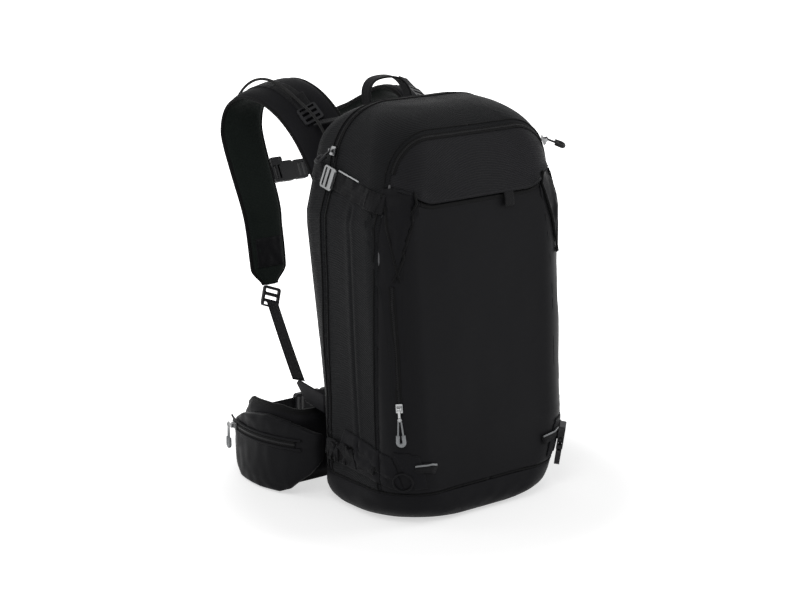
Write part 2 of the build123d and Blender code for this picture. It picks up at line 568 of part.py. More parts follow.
def build_belt():
    half = WING_T / 2
    plan = offset_route(WING_ROUTE, -half) + offset_route(WING_ROUTE, half)[::-1]
    wing = wall_prism(plan, WING_Z0, WING_Z1)
    wing &= from_side([(90, LUMBAR_Z0), (90, BACK_PAD_Z0 - 6), (130, WING_Z1), (205, WING_Z1 - 4), (245, 92),
                       (300, 78), (300, 40), (245, 22), (200, WING_Z0), (118, WING_Z0), (108, LUMBAR_Z0)],
                      -BIG, BIG)
    save(wing, "hip_wing_left")
    save(mirrored(wing), "hip_wing_right")

    keep_off = wall_prism(offset_route(WING_ROUTE, half + GAP) + [(0, BELT_Y), (0, BACK_Y)], -5, WING_Z1 + 20)
    pocket = extrude(pocket_plan(), WING_Z1) & from_side(POCKET_OUTLINE, -BIG, 0)
    pocket = pocket - keep_off - bag_solid(GAP * 2)
    pocket = max(pocket.solids(), key=lambda piece: piece.volume)
    save(pocket, "belt_pocket")

    # gear loop on the right wing: a webbing bridge with its ends on the wing
    gx = -WING_ROUTE[4][0] + half
    loop = strip([(gx + 0.1, 140, 72), (gx + 1.6, 150, 70), (gx + 11, 160, 61), (gx + 13, 168, 58),
                  (gx + 10, 176, 61), (gx - 0.4, 185, 70), (gx - 2.2, 195, 72)], 6, 4, (0, 0, 1))
    save(loop, "gear_loop")

    # belt webbing on each side and the buckle between them
    tip = WING_ROUTE[-1]
    left_end, right_end = -44.4, 27.0
    save(slab(tip[0] + GAP + 0.6, left_end, BELT_Y - WEB_T / 2, BELT_Y + WEB_T / 2, BELT_Z - WEB_W / 2,
              BELT_Z + WEB_W / 2), "hip_webbing_left")
    save(slab(right_end, -tip[0] - GAP - 0.6, BELT_Y - WEB_T / 2, BELT_Y + WEB_T / 2, BELT_Z - WEB_W / 2,
              BELT_Z + WEB_W / 2), "hip_webbing_right")
    female, male = buckle_pair(WEB_W, 48)
    seat = Pos(0, BELT_Y, BELT_Z) * Rot(-90, 0, 0)
    save(seat * female, "hip_buckle_female")
    save(seat * male, "hip_buckle_male")


def buckle_pair(width, length):
    """A side release buckle, closed, centred on the origin, flat in XY with the male half towards +X."""
    half_w, thick = width / 2 + 5, 9.0
    female = Pos(-length / 2 + 4, 0, 0) * Box(length, half_w * 2, thick)
    female = fillet(female.edges().filter_by(Axis.Z), 5)
    female = fillet(female.edges().group_by(Axis.Z)[-1], 1.6)
    mouth_x = length * 0.5 + 4 - length / 2
    inside = 5.4
    female -= Pos(mouth_x - 12, 0, 0) * Box(26, half_w * 2 - 7, inside)
    for side in (-1, 1):
        female -= Pos(mouth_x - 14, side * half_w, 0) * Box(13, 9, inside)
    female -= Pos(-length + 9, 0, 0) * Box(4.5, width + 1, 20)
    female -= Pos(-length + 16.5, 0, 0) * Box(4.5, width + 1, 20)
    # male half: cross bar, centre guide and two latching arms
    root_x = mouth_x + 0.6
    bar = Pos(root_x + 11, 0, 0) * Box(22, half_w * 2 - 1, thick - 1.5)
    bar = fillet(bar.edges().filter_by(Axis.Z), 4)
    bar -= Pos(root_x + 16.5, 0, 0) * Box(4.5, width + 1, 20)
    bar -= Pos(root_x + 9.0, 0, 0) * Box(4.5, width + 1, 20)
    arm_t = inside - 1.0
    male = bar + Pos(root_x - 8, 0, 0) * Box(18, 4, arm_t)
    for side in (-1, 1):
        arm = Polyline((root_x + 1, side * (half_w - 11)), (root_x + 1, side * (half_w - 8)),
                       (root_x - 13, side * (half_w - 4.6)), (root_x - 20, side * (half_w - 8.5)),
                       (root_x - 20, side * (half_w - 10.5)), (root_x - 13, side * (half_w - 8.5)),
                       close=True)
        male += Pos(0, 0, -arm_t / 2) * extrude(make_face(arm), arm_t)
    return female, male


# ---------------------------------------------------------------- sternum strap
def build_sternum():
    top, low = Vector(0, *STRAP_CHEST_TOP), Vector(0, *STRAP_CHEST_LOW)
    along = (top - low).normalized()
    out = Vector(0, along.Z, -along.Y)
    centre = (top + low) / 2
    face = centre + out * (STRAP_T / 2 + GAP)
    clip_t = 4.0
    inner_x = -STRAP_X + 18

    def oriented(shape, x, lift):
        return placed(shape, Vector(x, 0, 0) + face + out * lift, (1, 0, 0), out)

    clip = fillet(Box(20, NARROW_W + 6, clip_t).edges().filter_by(Axis.Z), 4)
    web_lift = clip_t + GAP + WEB_T / 2
    left_clip = oriented(clip, inner_x, clip_t / 2)
    buckle_x = -14
    female, male = buckle_pair(NARROW_W, 38)
    # finger-width whistle on the lower edge of the female half
    whistle = Pos(-22, -NARROW_W / 2 - 8.6, 0) * Box(20, 8, 6)
    whistle = fillet(whistle.edges().filter_by(Axis.Z), 2.4)
    whistle -= Pos(-17, -NARROW_W / 2 - 9.2, 0) * Box(3, 4, 8)
    save(oriented(female + whistle, buckle_x + 10, web_lift), "sternum_buckle_female")
    save(oriented(male, buckle_x + 10, web_lift), "sternum_buckle_male")
    female_end = buckle_x + 10 - 38 + 4
    web_l = slab(inner_x - 9, female_end - GAP, -NARROW_W / 2, NARROW_W / 2, -WEB_T / 2, WEB_T / 2)
    male_end = buckle_x + 10 + 4 + 0.6 + 22
    web_r = slab(male_end + GAP, -inner_x + 9, -NARROW_W / 2, NARROW_W / 2, -WEB_T / 2, WEB_T / 2)
    base = face + out * web_lift
    save([left_clip, placed(web_l, base, (1, 0, 0), out)], "sternum_strap_left")
    save([mirrored(left_clip), placed(web_r, base, (1, 0, 0), out)], "sternum_strap_right")


# ---------------------------------------------------------------- compression straps, loops
def on_left(shape, y, z, lift, slope=0):
    """Lays a shape, drawn with +X towards the front and +Z outwards, on the bag's left side wall."""
    x = -half_width(z, lift)
    a = math.radians(slope)
    wall = Vector(half_width(z - 10) - half_width(z + 10), 0, 20)
    return placed(shape, (x, y, z), (0, -math.cos(a), -math.sin(a)), Vector(-wall.Z, 0, wall.X))


def sloped_band(z, slope, width, y0, y1, lift=GAP):
    layer = skin(z - 45, z + 45, lift, lift + WEB_T)
    cut = Pos(0, 0, z) * Rot(slope, 0, 0) * Box(BIG, BIG, width)
    return layer & cut & slab(-BIG, 0, y0, y1, 0, BIG)


def hook_body():
    """A pressed metal hook for the upper compression strap, with webbing slots and a curled front lip."""
    plate = fillet(Box(HOOK_L, HOOK_H, 2.2).edges().filter_by(Axis.Z), 4)
    plate -= Pos(-8, 0, 0) * Box(3.6, WEB_W, 10)
    plate -= Pos(1, 0, 0) * Box(4.0, WEB_W, 10)
    return plate + Pos(HOOK_L / 2 - 1.6, 0, 1.6) * Box(3.2, HOOK_H - 8, 3.0)


def build_compression():
    y_hook_front, y_hook_back = HOOK_Y - HOOK_L / 2, HOOK_Y + HOOK_L / 2
    rear = sloped_band(UPPER_STRAP_Z, UPPER_STRAP_SLOPE, WEB_W, y_hook_back - 3, BACK_Y - BACK_CORNER_R + 12)
    front = sloped_band(UPPER_STRAP_Z, UPPER_STRAP_SLOPE, WEB_W, LID_ZIP_Y + 8, y_hook_front + 3)
    save([rear, mirrored(rear), front, mirrored(front)], "upper_compression_webbing")
    z_hook = UPPER_STRAP_Z + math.tan(math.radians(UPPER_STRAP_SLOPE)) * HOOK_Y
    hook = on_left(hook_body(), HOOK_Y, z_hook, HOOK_LIFT, UPPER_STRAP_SLOPE)
    save(hook, "upper_hook_left")
    save(mirrored(hook), "upper_hook_right")

    low = skin(LOWER_STRAP_Z - WEB_W / 2, LOWER_STRAP_Z + WEB_W / 2, GAP, GAP + WEB_T)
    low_left = low & slab(-BIG, 0, -62, POCKET_ARC[0][1] - 8, 0, BIG)
    low_right = low & slab(0, BIG, -100, 80, 0, BIG)
    save([low_left, low_right], "lower_compression_webbing")
    # a side release buckle hangs at the front right corner on the end of the lower strap
    female, male = buckle_pair(NARROW_W, 34)
    corner = corner_point(LOWER_STRAP_Z - 18, 7.6)
    spot = Vector(-corner.X, corner.Y, corner.Z)
    closed = placed(female + male, spot, (0.12, 0, -1), (1, -1, -0.2))
    save(closed, "lower_strap_buckle")
    tongue = Box(30, WEB_W + 3, 2.4)
    folded = fillet(tongue.edges().filter_by(Axis.Z), 3)
    lift = GAP + WEB_T + GAP + 1.2
    save([on_left(folded, y, LOWER_STRAP_Z, lift) for y in (-8, 28)], "ski_strap_keepers")


def build_loops():
    # ice axe loop low on the front left corner
    z = LOOP_Z
    up = corner_point(z + 8, 0) - corner_point(z - 8, 0)
    normal = Vector(1, -1, 0).cross(up).normalized()
    save(placed(Torus(13, 1.3), corner_point(z, 0) + normal * (1.3 + GAP), up, normal), "ice_axe_loop")
    # pull tab on the top edge of the front panel, under the lid's edge
    tab_z = LID_EDGE_Z - 8
    yt = front_y(tab_z, GAP + 0.8)
    tab = fillet(Box(17, 1.6, 22).edges().filter_by(Axis.Y), 2)
    lean = math.degrees(math.atan((front_y(tab_z + 10) - front_y(tab_z - 10)) / 20))
    save(Pos(46, yt, tab_z) * Rot(-lean, 0, 0) * tab, "front_tab")
    # haul loop between the shoulder straps
    base_y, base_z = back_y(HAUL_Z, GAP) + NARROW_W / 2 - 0.5, HAUL_Z
    route = [(-34, base_y, base_z), (-36, base_y + 4, base_z + 22), (-32, base_y + 10, base_z + 40),
             (-20, base_y + 14, base_z + 51), (0, base_y + 15, base_z + 54), (20, base_y + 14, base_z + 51),
             (32, base_y + 10, base_z + 40), (36, base_y + 4, base_z + 22), (34, base_y, base_z)]
    save(strip(route, NARROW_W, 3.0, (0, 1, 0)), "haul_loop")


# ---------------------------------------------------------------- airbag system
def along_y(r, y0, y1, x=0.0, z=0.0):
    return Pos(x, (y0 + y1) / 2, z) * Rot(90, 0, 0) * Cylinder(r, y1 - y0)


def build_airbag():
    z = BLOWER_Z
    can = along_y(BLOWER_R, BLOWER_Y0, BLOWER_Y1, z=z)
    spigot_z = z + BLOWER_R + 14
    y_mid = (BLOWER_Y0 + BLOWER_Y1) / 2
    spigot = Pos(DUCT_X, y_mid, (z + spigot_z) / 2) * Cylinder(DUCT_R, spigot_z - z)
    can += spigot
    can -= along_y(BLOWER_R - BLOWER_WALL, BLOWER_Y0 - 1, BLOWER_Y1 - BLOWER_WALL, z=z)
    can -= Pos(DUCT_X, y_mid, (z + spigot_z) / 2 + 1) * Cylinder(DUCT_R - DUCT_WALL, spigot_z - z + 2)
    save(can, "blower_housing")
    cover = along_y(BLOWER_R - BLOWER_WALL - 0.1, BLOWER_Y0, BLOWER_Y0 + 2, z=z)
    for ring in range(3):
        for k in range(12):
            a = math.radians(30 * k + 15 * ring)
            r = 12 + 11 * ring
            x, rise = r * math.cos(a), r * math.sin(a)
            cover -= along_y(2.2 + 0.7 * ring, BLOWER_Y0 - 1, BLOWER_Y0 + 4, x, z + rise)
    save(cover, "blower_cover")
    back = BLOWER_Y1 - BLOWER_WALL
    motor = along_y(15, back - 17, back - 0.05, z=z) + along_y(SHAFT_R, back - 30, back - 17, z=z)
    save(motor, "blower_motor")
    hub_y0, hub_y1 = back - 29, back - 18.5
    disc = along_y(IMPELLER_R, hub_y1 - 1.6, hub_y1, z=z) + along_y(7, hub_y0, hub_y1, z=z)
    for k in range(IMPELLER_BLADES):
        blade = Pos(IMPELLER_R - 12, hub_y1 - 6.6, 0) * Rot(0, 24, 0) * Box(20, 10.4, 1.6)
        disc += Pos(0, 0, z) * Rot(0, 360 / IMPELLER_BLADES * k, 0) * blade
    disc -= along_y(SHAFT_R + SHAFT_CLEARANCE, hub_y0 - 5, hub_y1 + 5, z=z)
    save(disc, "blower_impeller")
    duct_z0 = spigot_z - 10
    duct = Pos(DUCT_X, y_mid, (duct_z0 + BLADDER_Z0 - GAP) / 2) * (
        Cylinder(DUCT_R + GAP + DUCT_WALL, BLADDER_Z0 - GAP - duct_z0)
        - Cylinder(DUCT_R + 0.05, BLADDER_Z0 - GAP - duct_z0 + 2))
    save(duct, "air_duct")
    bladder_back = FRAME_FACE_Y - STAY_T - GAP
    bladder = slab(-BLADDER_HALF_W, BLADDER_HALF_W, bladder_back - 40, bladder_back, BLADDER_Z0, BLADDER_Z1)
    save(fillet(bladder.edges(), 15), "airbag_bladder")

    # control box under the blower, with a power switch and the release lever
    box_z0, box_z1 = z - BLOWER_R - 62, z - BLOWER_R - 4
    case = slab(-46, 46, BLOWER_Y0 + 4, BLOWER_Y1, box_z0, box_z1)
    case = fillet(case.edges().filter_by(Axis.Y), 6)
    case -= slab(-43.5, 43.5, BLOWER_Y0 + 6.5, BLOWER_Y1 - 2.5, box_z0 + 2.5, box_z1 - 2.5)
    case -= slab(14, 26, BLOWER_Y0, BLOWER_Y0 + 12, box_z0 + 24, box_z0 + 38)
    case += along_y(3.0, BLOWER_Y0 - 4, BLOWER_Y0 + 5, LEVER_X, LEVER_Z)
    save(case, "control_box")
    switch = slab(14.6, 25.4, BLOWER_Y0 + 1, BLOWER_Y0 + 10, box_z0 + 24.6, box_z0 + 32)
    save(switch, "power_switch")
    lever = along_y(6, BLOWER_Y0 - 2.5, BLOWER_Y0 + 3.4, LEVER_X, LEVER_Z)
    lever += slab(LEVER_X - 26, LEVER_X, BLOWER_Y0 - 1, BLOWER_Y0 + 2, LEVER_Z - 3.5, LEVER_Z + 3.5)
    lever -= along_y(3.0 + 0.06, BLOWER_Y0 - 6, BLOWER_Y0 + 6, LEVER_X, LEVER_Z)
    save(lever, "release_lever")
    cell_y = BLOWER_Y1 - 17
    cells = [Pos(x, cell_y, box_z0 - 46) * Cylinder(15, 82) for x in (-32, 0, 32)]
    tray = slab(-48, 48, cell_y - 17, cell_y + 17, box_z0 - 92, box_z0 - 87.05)
    save(cells + [fillet(tray.edges().filter_by(Axis.Z), 5)], "capacitor_pack")


def cable_radii(points):
    """Each bend's radius: 0.45 of its shorter run over the tangent of half its turn."""
    pts = [Vector(*p) for p in points]
    radii = []
    for a, b, c in zip(pts, pts[1:], pts[2:]):
        turn = math.radians((b - a).get_angle(c - b))
        radii.append(0.45 * min((b - a).length, (c - b).length) / math.tan(turn / 2))
    return radii


def cable_path():
    path = FilletPolyline(*CABLE_ROUTE, radius=cable_radii(CABLE_ROUTE))
    return path if isinstance(path, Wire) else Wire(path.edges())


def cable_tube(radius):
    path = cable_path()
    return sweep(Plane(path @ 0, z_dir=path % 0) * Circle(radius), path=path)


def build_trigger():
    tube, length = cable_tube(CABLE_R), cable_path().length
    share = tube.volume / (math.pi * CABLE_R ** 2 * length)
    radii = [round(r) for r in cable_radii(CABLE_ROUTE)]
    print("trigger cable: length", round(length, 1), "volume over section times length", round(share, 4))
    print("its bends' radii", radii)
    save(tube, "trigger_cable")
    # dock on the outer face of the left strap, and the handle that pulls out of it
    dock = fillet(Box(DOCK_L, DOCK_W, DOCK_T).edges().filter_by(Axis.X), 3)
    socket = Cylinder(STEM_R + STEM_CLEARANCE, STEM_DEPTH + 1)
    dock -= Pos(DOCK_L / 2 - STEM_DEPTH / 2, 0, 0) * Rot(0, 90, 0) * socket
    save(placed(dock, DOCK_AT, PULL_DIR, PULL_OUT), "trigger_dock")
    stem_l = STEM_DEPTH + 1
    stem = Pos(DOCK_L / 2 - STEM_DEPTH + 1 + stem_l / 2, 0, 0) * Rot(0, 90, 0) * Cylinder(STEM_R, stem_l)
    grip_x = DOCK_L / 2 + 0.6
    grip = Pos(grip_x + HANDLE_L / 2, 0, 0) * Box(HANDLE_L, 19, 10.5)
    grip = fillet(grip.edges().filter_by(Axis.X), 4.5)
    grip = fillet(grip.faces().sort_by(Axis.X)[-1].edges(), 2.5)
    for k in range(4):
        grip -= Pos(grip_x + 14 + 10 * k, 0, 6.2) * Rot(90, 0, 0) * Cylinder(2.2, 40)
    save(placed(stem + grip, DOCK_AT, PULL_DIR, PULL_OUT), "trigger_handle")


build_shells()
build_zips()
build_back()
build_harness()
build_belt()
build_sternum()
build_compression()
build_loops()
build_airbag()
build_trigger()
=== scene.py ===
# %% [markdown]
# # Dressing a ski backpack over its CAD frame
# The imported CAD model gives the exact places, sizes and joints. This script keeps the hard
# parts (buckles, hooks, sliders) and gives them finishes, and it sews new soft pieces over
# the rest. Everything is in metres, with +Z up and -Y towards the front panel.

# %% Load the frame
import bmesh
import bpy
import math
import numpy as np
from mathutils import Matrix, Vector, noise
from mathutils.bvhtree import BVHTree


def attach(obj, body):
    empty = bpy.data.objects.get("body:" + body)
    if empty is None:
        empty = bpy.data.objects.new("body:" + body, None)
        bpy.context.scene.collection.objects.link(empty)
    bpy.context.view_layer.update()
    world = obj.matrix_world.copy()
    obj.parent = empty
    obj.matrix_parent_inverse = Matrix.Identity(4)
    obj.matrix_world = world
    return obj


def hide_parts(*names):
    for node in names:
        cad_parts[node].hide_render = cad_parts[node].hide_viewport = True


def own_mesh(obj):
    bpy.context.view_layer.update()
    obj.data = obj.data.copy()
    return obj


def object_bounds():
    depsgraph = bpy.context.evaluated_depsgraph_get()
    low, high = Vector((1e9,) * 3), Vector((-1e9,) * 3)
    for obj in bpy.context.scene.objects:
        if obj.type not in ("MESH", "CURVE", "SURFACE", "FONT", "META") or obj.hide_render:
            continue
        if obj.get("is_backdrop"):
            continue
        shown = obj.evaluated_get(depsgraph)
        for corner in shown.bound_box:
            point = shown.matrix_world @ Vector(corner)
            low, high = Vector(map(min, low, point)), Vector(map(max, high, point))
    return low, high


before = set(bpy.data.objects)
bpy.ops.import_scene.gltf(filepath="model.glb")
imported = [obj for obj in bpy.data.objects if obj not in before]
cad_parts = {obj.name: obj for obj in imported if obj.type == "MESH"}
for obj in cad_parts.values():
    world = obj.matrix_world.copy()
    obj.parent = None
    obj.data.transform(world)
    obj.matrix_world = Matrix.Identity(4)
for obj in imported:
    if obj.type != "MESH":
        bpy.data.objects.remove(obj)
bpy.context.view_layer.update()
MM = 0.001

# %% [markdown]
# The camera comes first, since every later choice of detail depends on what it sees. It stands
# high on the pack's left front and looks slightly down, with a long lens that keeps the sides
# nearly parallel, as for a catalogue picture.

# %% Camera
CAMERA_AT = Vector((-1.7407, -2.1496, 1.005))
CAMERA_AIM = Vector((-0.038, 0.031, 0.272))
camera_data = bpy.data.cameras.new("camera")
camera_data.lens, camera_data.sensor_width = 94.05, 36.0
camera = bpy.data.objects.new("camera", camera_data)
bpy.context.scene.collection.objects.link(camera)
camera.location = CAMERA_AT
camera.rotation_euler = (CAMERA_AIM - CAMERA_AT).to_track_quat("-Z", "Y").to_euler()
bpy.context.scene.camera = camera
print("camera distance", round((CAMERA_AIM - CAMERA_AT).length, 3))

# %% [markdown]
# Light is a big soft key from the upper left, a weaker one from the right and an even white
# world, as in a product studio. The camera and mirrored rays see a full white backdrop, while
# the light that the world sheds on the pack is kept low, so that black cloth stays black.

# %% World, lamps and floor
WORLD_LEVEL, KEY_WATTS, RIM_WATTS, FILL_WATTS = 0.40, 14, 11, 6
FLOOR_SIZE, FLOOR_FADE_NEAR, FLOOR_FADE_FAR = 12.0, 0.24, 0.52
FLOOR_LEAST, FLOOR_GLOW, FLOOR_GREY = 0.32, 1.8, 0.93
bpy.context.scene.view_settings.view_transform = "Standard"


def seen_white(tree):
    """A value of 1 where the camera, a mirror or glass looks at this shader, and 0 elsewhere."""
    path = tree.nodes.new("ShaderNodeLightPath")
    last = path.outputs["Is Camera Ray"]
    for ray in ("Is Glossy Ray", "Is Transmission Ray"):
        most = tree.nodes.new("ShaderNodeMath")
        most.operation = "MAXIMUM"
        tree.links.new(last, most.inputs[0])
        tree.links.new(path.outputs[ray], most.inputs[1])
        last = most.outputs[0]
    return last


def add_node(tree, kind, **given):
    """A new node. Each named input is linked if it is given a socket, or else set to a value."""
    node = tree.nodes.new("ShaderNode" + kind)
    for name, value in given.items():
        socket = node.inputs[name.replace("_", " ")]
        if isinstance(value, bpy.types.NodeSocket):
            tree.links.new(value, socket)
        else:
            socket.default_value = value
    return node


def show_mix(tree, share, first, second, end):
    """Ends a tree with a mix of two shaders. Share is the socket that says how much of the second."""
    mix, out = tree.nodes.new("ShaderNodeMixShader"), tree.nodes.new("ShaderNodeOutput" + end)
    for source, target in ((share, 0), (first.outputs[0], 1), (second.outputs[0], 2)):
        tree.links.new(source, mix.inputs[target])
    tree.links.new(mix.outputs[0], out.inputs[0])


def empty_tree(holder):
    holder.use_nodes = True
    holder.node_tree.nodes.clear()
    return holder.node_tree


WHITE = (1, 1, 1, 1)
world = bpy.data.worlds.new("studio")
bpy.context.scene.world = world
tree = empty_tree(world)
show_mix(tree, seen_white(tree), add_node(tree, "Background", Color=WHITE, Strength=WORLD_LEVEL),
         add_node(tree, "Background", Color=WHITE, Strength=1.0), "World")


def area_lamp(name, at, aim, size, watts):
    data = bpy.data.lights.new(name, "AREA")
    data.shape, data.size, data.energy = "DISK", size, watts
    lamp = bpy.data.objects.new(name, data)
    bpy.context.scene.collection.objects.link(lamp)
    lamp.location = at
    lamp.rotation_euler = (Vector(aim) - Vector(at)).to_track_quat("-Z", "Y").to_euler()


area_lamp("key", (-1.3, -1.2, 1.9), (0, 0, 0.3), 1.2, KEY_WATTS)
area_lamp("rim", (1.7, -0.9, 1.1), (0, 0, 0.3), 1.0, RIM_WATTS)
area_lamp("fill", (-1.6, 1.2, 1.2), (0, 0.1, 0.3), 1.2, FILL_WATTS)

bpy.ops.mesh.primitive_plane_add(size=FLOOR_SIZE)
floor = bpy.context.object
floor.name = "floor"
floor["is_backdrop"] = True
floor_finish = bpy.data.materials.new("pale_floor")
tree = empty_tree(floor_finish)
reach = tree.nodes.new("ShaderNodeVectorMath")
reach.operation = "LENGTH"
tree.links.new(add_node(tree, "NewGeometry").outputs["Position"], reach.inputs[0])
fade = add_node(tree, "MapRange", Value=reach.outputs["Value"], From_Min=FLOOR_FADE_NEAR,
                From_Max=FLOOR_FADE_FAR, To_Min=FLOOR_LEAST)
fade.interpolation_type = "SMOOTHSTEP"
seen = tree.nodes.new("ShaderNodeMath")
seen.operation = "MULTIPLY"
tree.links.new(fade.outputs[0], seen.inputs[0])
tree.links.new(seen_white(tree), seen.inputs[1])
show_mix(tree, seen.outputs[0], add_node(tree, "BsdfDiffuse", Color=(FLOOR_GREY, FLOOR_GREY, FLOOR_GREY, 1)),
         add_node(tree, "Emission", Color=WHITE, Strength=FLOOR_GLOW), "Material")
floor.data.materials.append(floor_finish)
print("studio: 3 lamps, world", WORLD_LEVEL)

# %% [markdown]
# ## Finishes
# Nearly everything is black, so the eye tells cloth, webbing, foam mesh and plastic apart by
# their texture and sheen. Each effect that several finishes share is one node group: a ribbed
# cloth, a webbing twill, a coarse mesh and a patchy wear. A group only works out heights and
# masks; the Principled shader stays in each material, where its plain values are easy to read.

# %% A small kit for node groups
def new_group(name, inputs, outputs):
    group = bpy.data.node_groups.new(name, "ShaderNodeTree")
    for label, kind, value in inputs:
        socket = group.interface.new_socket(name=label, in_out="INPUT", socket_type=kind)
        if value is not None:
            socket.default_value = value
    for label in outputs:
        group.interface.new_socket(name=label, in_out="OUTPUT", socket_type="NodeSocketFloat")
    return group, group.nodes.new("NodeGroupInput"), group.nodes.new("NodeGroupOutput")


def math_node(tree, operation, a, b=None, c=None, clamp=False):
    """One Math node. Each operand is a socket or a number."""
    node = tree.nodes.new("ShaderNodeMath")
    node.operation, node.use_clamp = operation, clamp
    for socket, value in zip(node.inputs, (a, b, c)):
        if isinstance(value, bpy.types.NodeSocket):
            tree.links.new(value, socket)
        elif value is not None:
            socket.default_value = value
    return node.outputs[0]


def split(tree, vector):
    return add_node(tree, "SeparateXYZ", Vector=vector).outputs


def noise_node(tree, vector, scale, detail=3.0):
    return add_node(tree, "TexNoise", Vector=vector, Scale=scale, Detail=detail, Roughness=0.55).outputs[0]


FLOAT, VECTOR = "NodeSocketFloat", "NodeSocketVector"
FULL_TURN = 2 * math.pi

# %% Ribbed cloth: fine ribs across the cloth, a thread-scale weave and lightly uneven ribs
ribbed, given, made = new_group(
    "ribbed_cloth",
    [("Vector", VECTOR, None), ("Rib Pitch", FLOAT, 0.003), ("Rib Depth", FLOAT, 0.5),
     ("Thread Pitch", FLOAT, 0.0006)],
    ["Height", "Shade"])
along, up, _ = split(ribbed, given.outputs["Vector"])
drift = noise_node(ribbed, given.outputs["Vector"], 26.0, 2.0)
ragged = noise_node(ribbed, given.outputs["Vector"], 420.0, 2.0)
row = math_node(ribbed, "DIVIDE", up, given.outputs["Rib Pitch"])
row = math_node(ribbed, "MULTIPLY_ADD", drift, 0.8, row)
wave = math_node(ribbed, "SINE", math_node(ribbed, "MULTIPLY", row, FULL_TURN))
ridge = math_node(ribbed, "POWER", math_node(ribbed, "MULTIPLY_ADD", wave, 0.5, 0.5), 3.0)
ridge = math_node(ribbed, "MULTIPLY", ridge, math_node(ribbed, "MULTIPLY_ADD", ragged, 0.9, 0.45))
warp, weft = [math_node(ribbed, "SINE", math_node(
    ribbed, "MULTIPLY", math_node(ribbed, "DIVIDE", run, given.outputs["Thread Pitch"]), FULL_TURN))
    for run in (along, up)]
weave = math_node(ribbed, "MULTIPLY", warp, weft)
height = math_node(ribbed, "MULTIPLY", ridge, given.outputs["Rib Depth"])
ribbed.links.new(math_node(ribbed, "MULTIPLY_ADD", weave, 0.12, height), made.inputs["Height"])
# Shade is painted shade and highlight: it makes the colour darker in the hollows between ribs and lighter on
# the ridges.
ribbed.links.new(height, made.inputs["Shade"])
print("group", ribbed.name)

# %% Webbing twill: slanted rows that turn back in each stripe, between two firm edges
twill, given, made = new_group(
    "webbing_twill",
    [("Vector", VECTOR, None), ("Row Pitch", FLOAT, 0.0022), ("Stripe", FLOAT, 0.0026)],
    ["Height", "Shade"])
along, across, _ = split(twill, given.outputs["Vector"])
stripe = math_node(twill, "DIVIDE", math_node(twill, "PINGPONG", across, given.outputs["Stripe"]),
                   given.outputs["Stripe"])
row = math_node(twill, "ADD", math_node(twill, "DIVIDE", along, given.outputs["Row Pitch"]), stripe)
wave = math_node(twill, "SINE", math_node(twill, "MULTIPLY", row, FULL_TURN))
ridge = math_node(twill, "MULTIPLY_ADD", wave, 0.5, 0.5)
valley = math_node(twill, "POWER", math_node(twill, "ABSOLUTE", math_node(
    twill, "MULTIPLY_ADD", stripe, 2.0, -1.0)), 4.0)
height = math_node(twill, "MULTIPLY_ADD", valley, -0.5, ridge)
twill.links.new(height, made.inputs["Height"])
# Shade is painted shade and highlight: the colour is lighter on each twill ridge and darker in the grooves
# between rows.
twill.links.new(ridge, made.inputs["Shade"])
print("group", twill.name)

# %% Foam mesh: a coarse knit with a round hole in each cell
knit, given, made = new_group(
    "foam_mesh", [("Vector", VECTOR, None), ("Cell", FLOAT, 0.003)], ["Height", "Shade"])
scale = math_node(knit, "DIVIDE", 1.0, given.outputs["Cell"])
cells = add_node(knit, "TexVoronoi", Vector=given.outputs["Vector"], Scale=scale, Randomness=0.25)
rim = math_node(knit, "MULTIPLY_ADD", cells.outputs["Distance"], 2.0, -0.25)
hole = math_node(knit, "SMOOTH_MAX", rim, 0.0, 0.2)
knit.links.new(hole, made.inputs["Height"])
# Shade is painted shade: the colour is darker in each hole of the mesh and lighter on the rims.
knit.links.new(math_node(knit, "MULTIPLY", hole, 1.0, clamp=True), made.inputs["Shade"])
print("group", knit.name)

# %% Wear: broad dusty patches, fine specks and polish on the proud edges
wear, given, made = new_group(
    "wear", [("Vector", VECTOR, None), ("Patch Scale", FLOAT, 9.0), ("Edge", FLOAT, 1.0)],
    ["Patches", "Specks", "Edges"])
wear.links.new(noise_node(wear, given.outputs["Vector"], given.outputs["Patch Scale"], 4.0),
               made.inputs["Patches"])
wear.links.new(noise_node(wear, given.outputs["Vector"], 900.0, 2.0), made.inputs["Specks"])
proud = add_node(wear, "MapRange", Value=add_node(wear, "NewGeometry").outputs["Pointiness"],
                 From_Min=0.52, From_Max=0.62)
wear.links.new(math_node(wear, "MULTIPLY", proud.outputs[0], given.outputs["Edge"], clamp=True),
               made.inputs["Edges"])
print("group", wear.name)
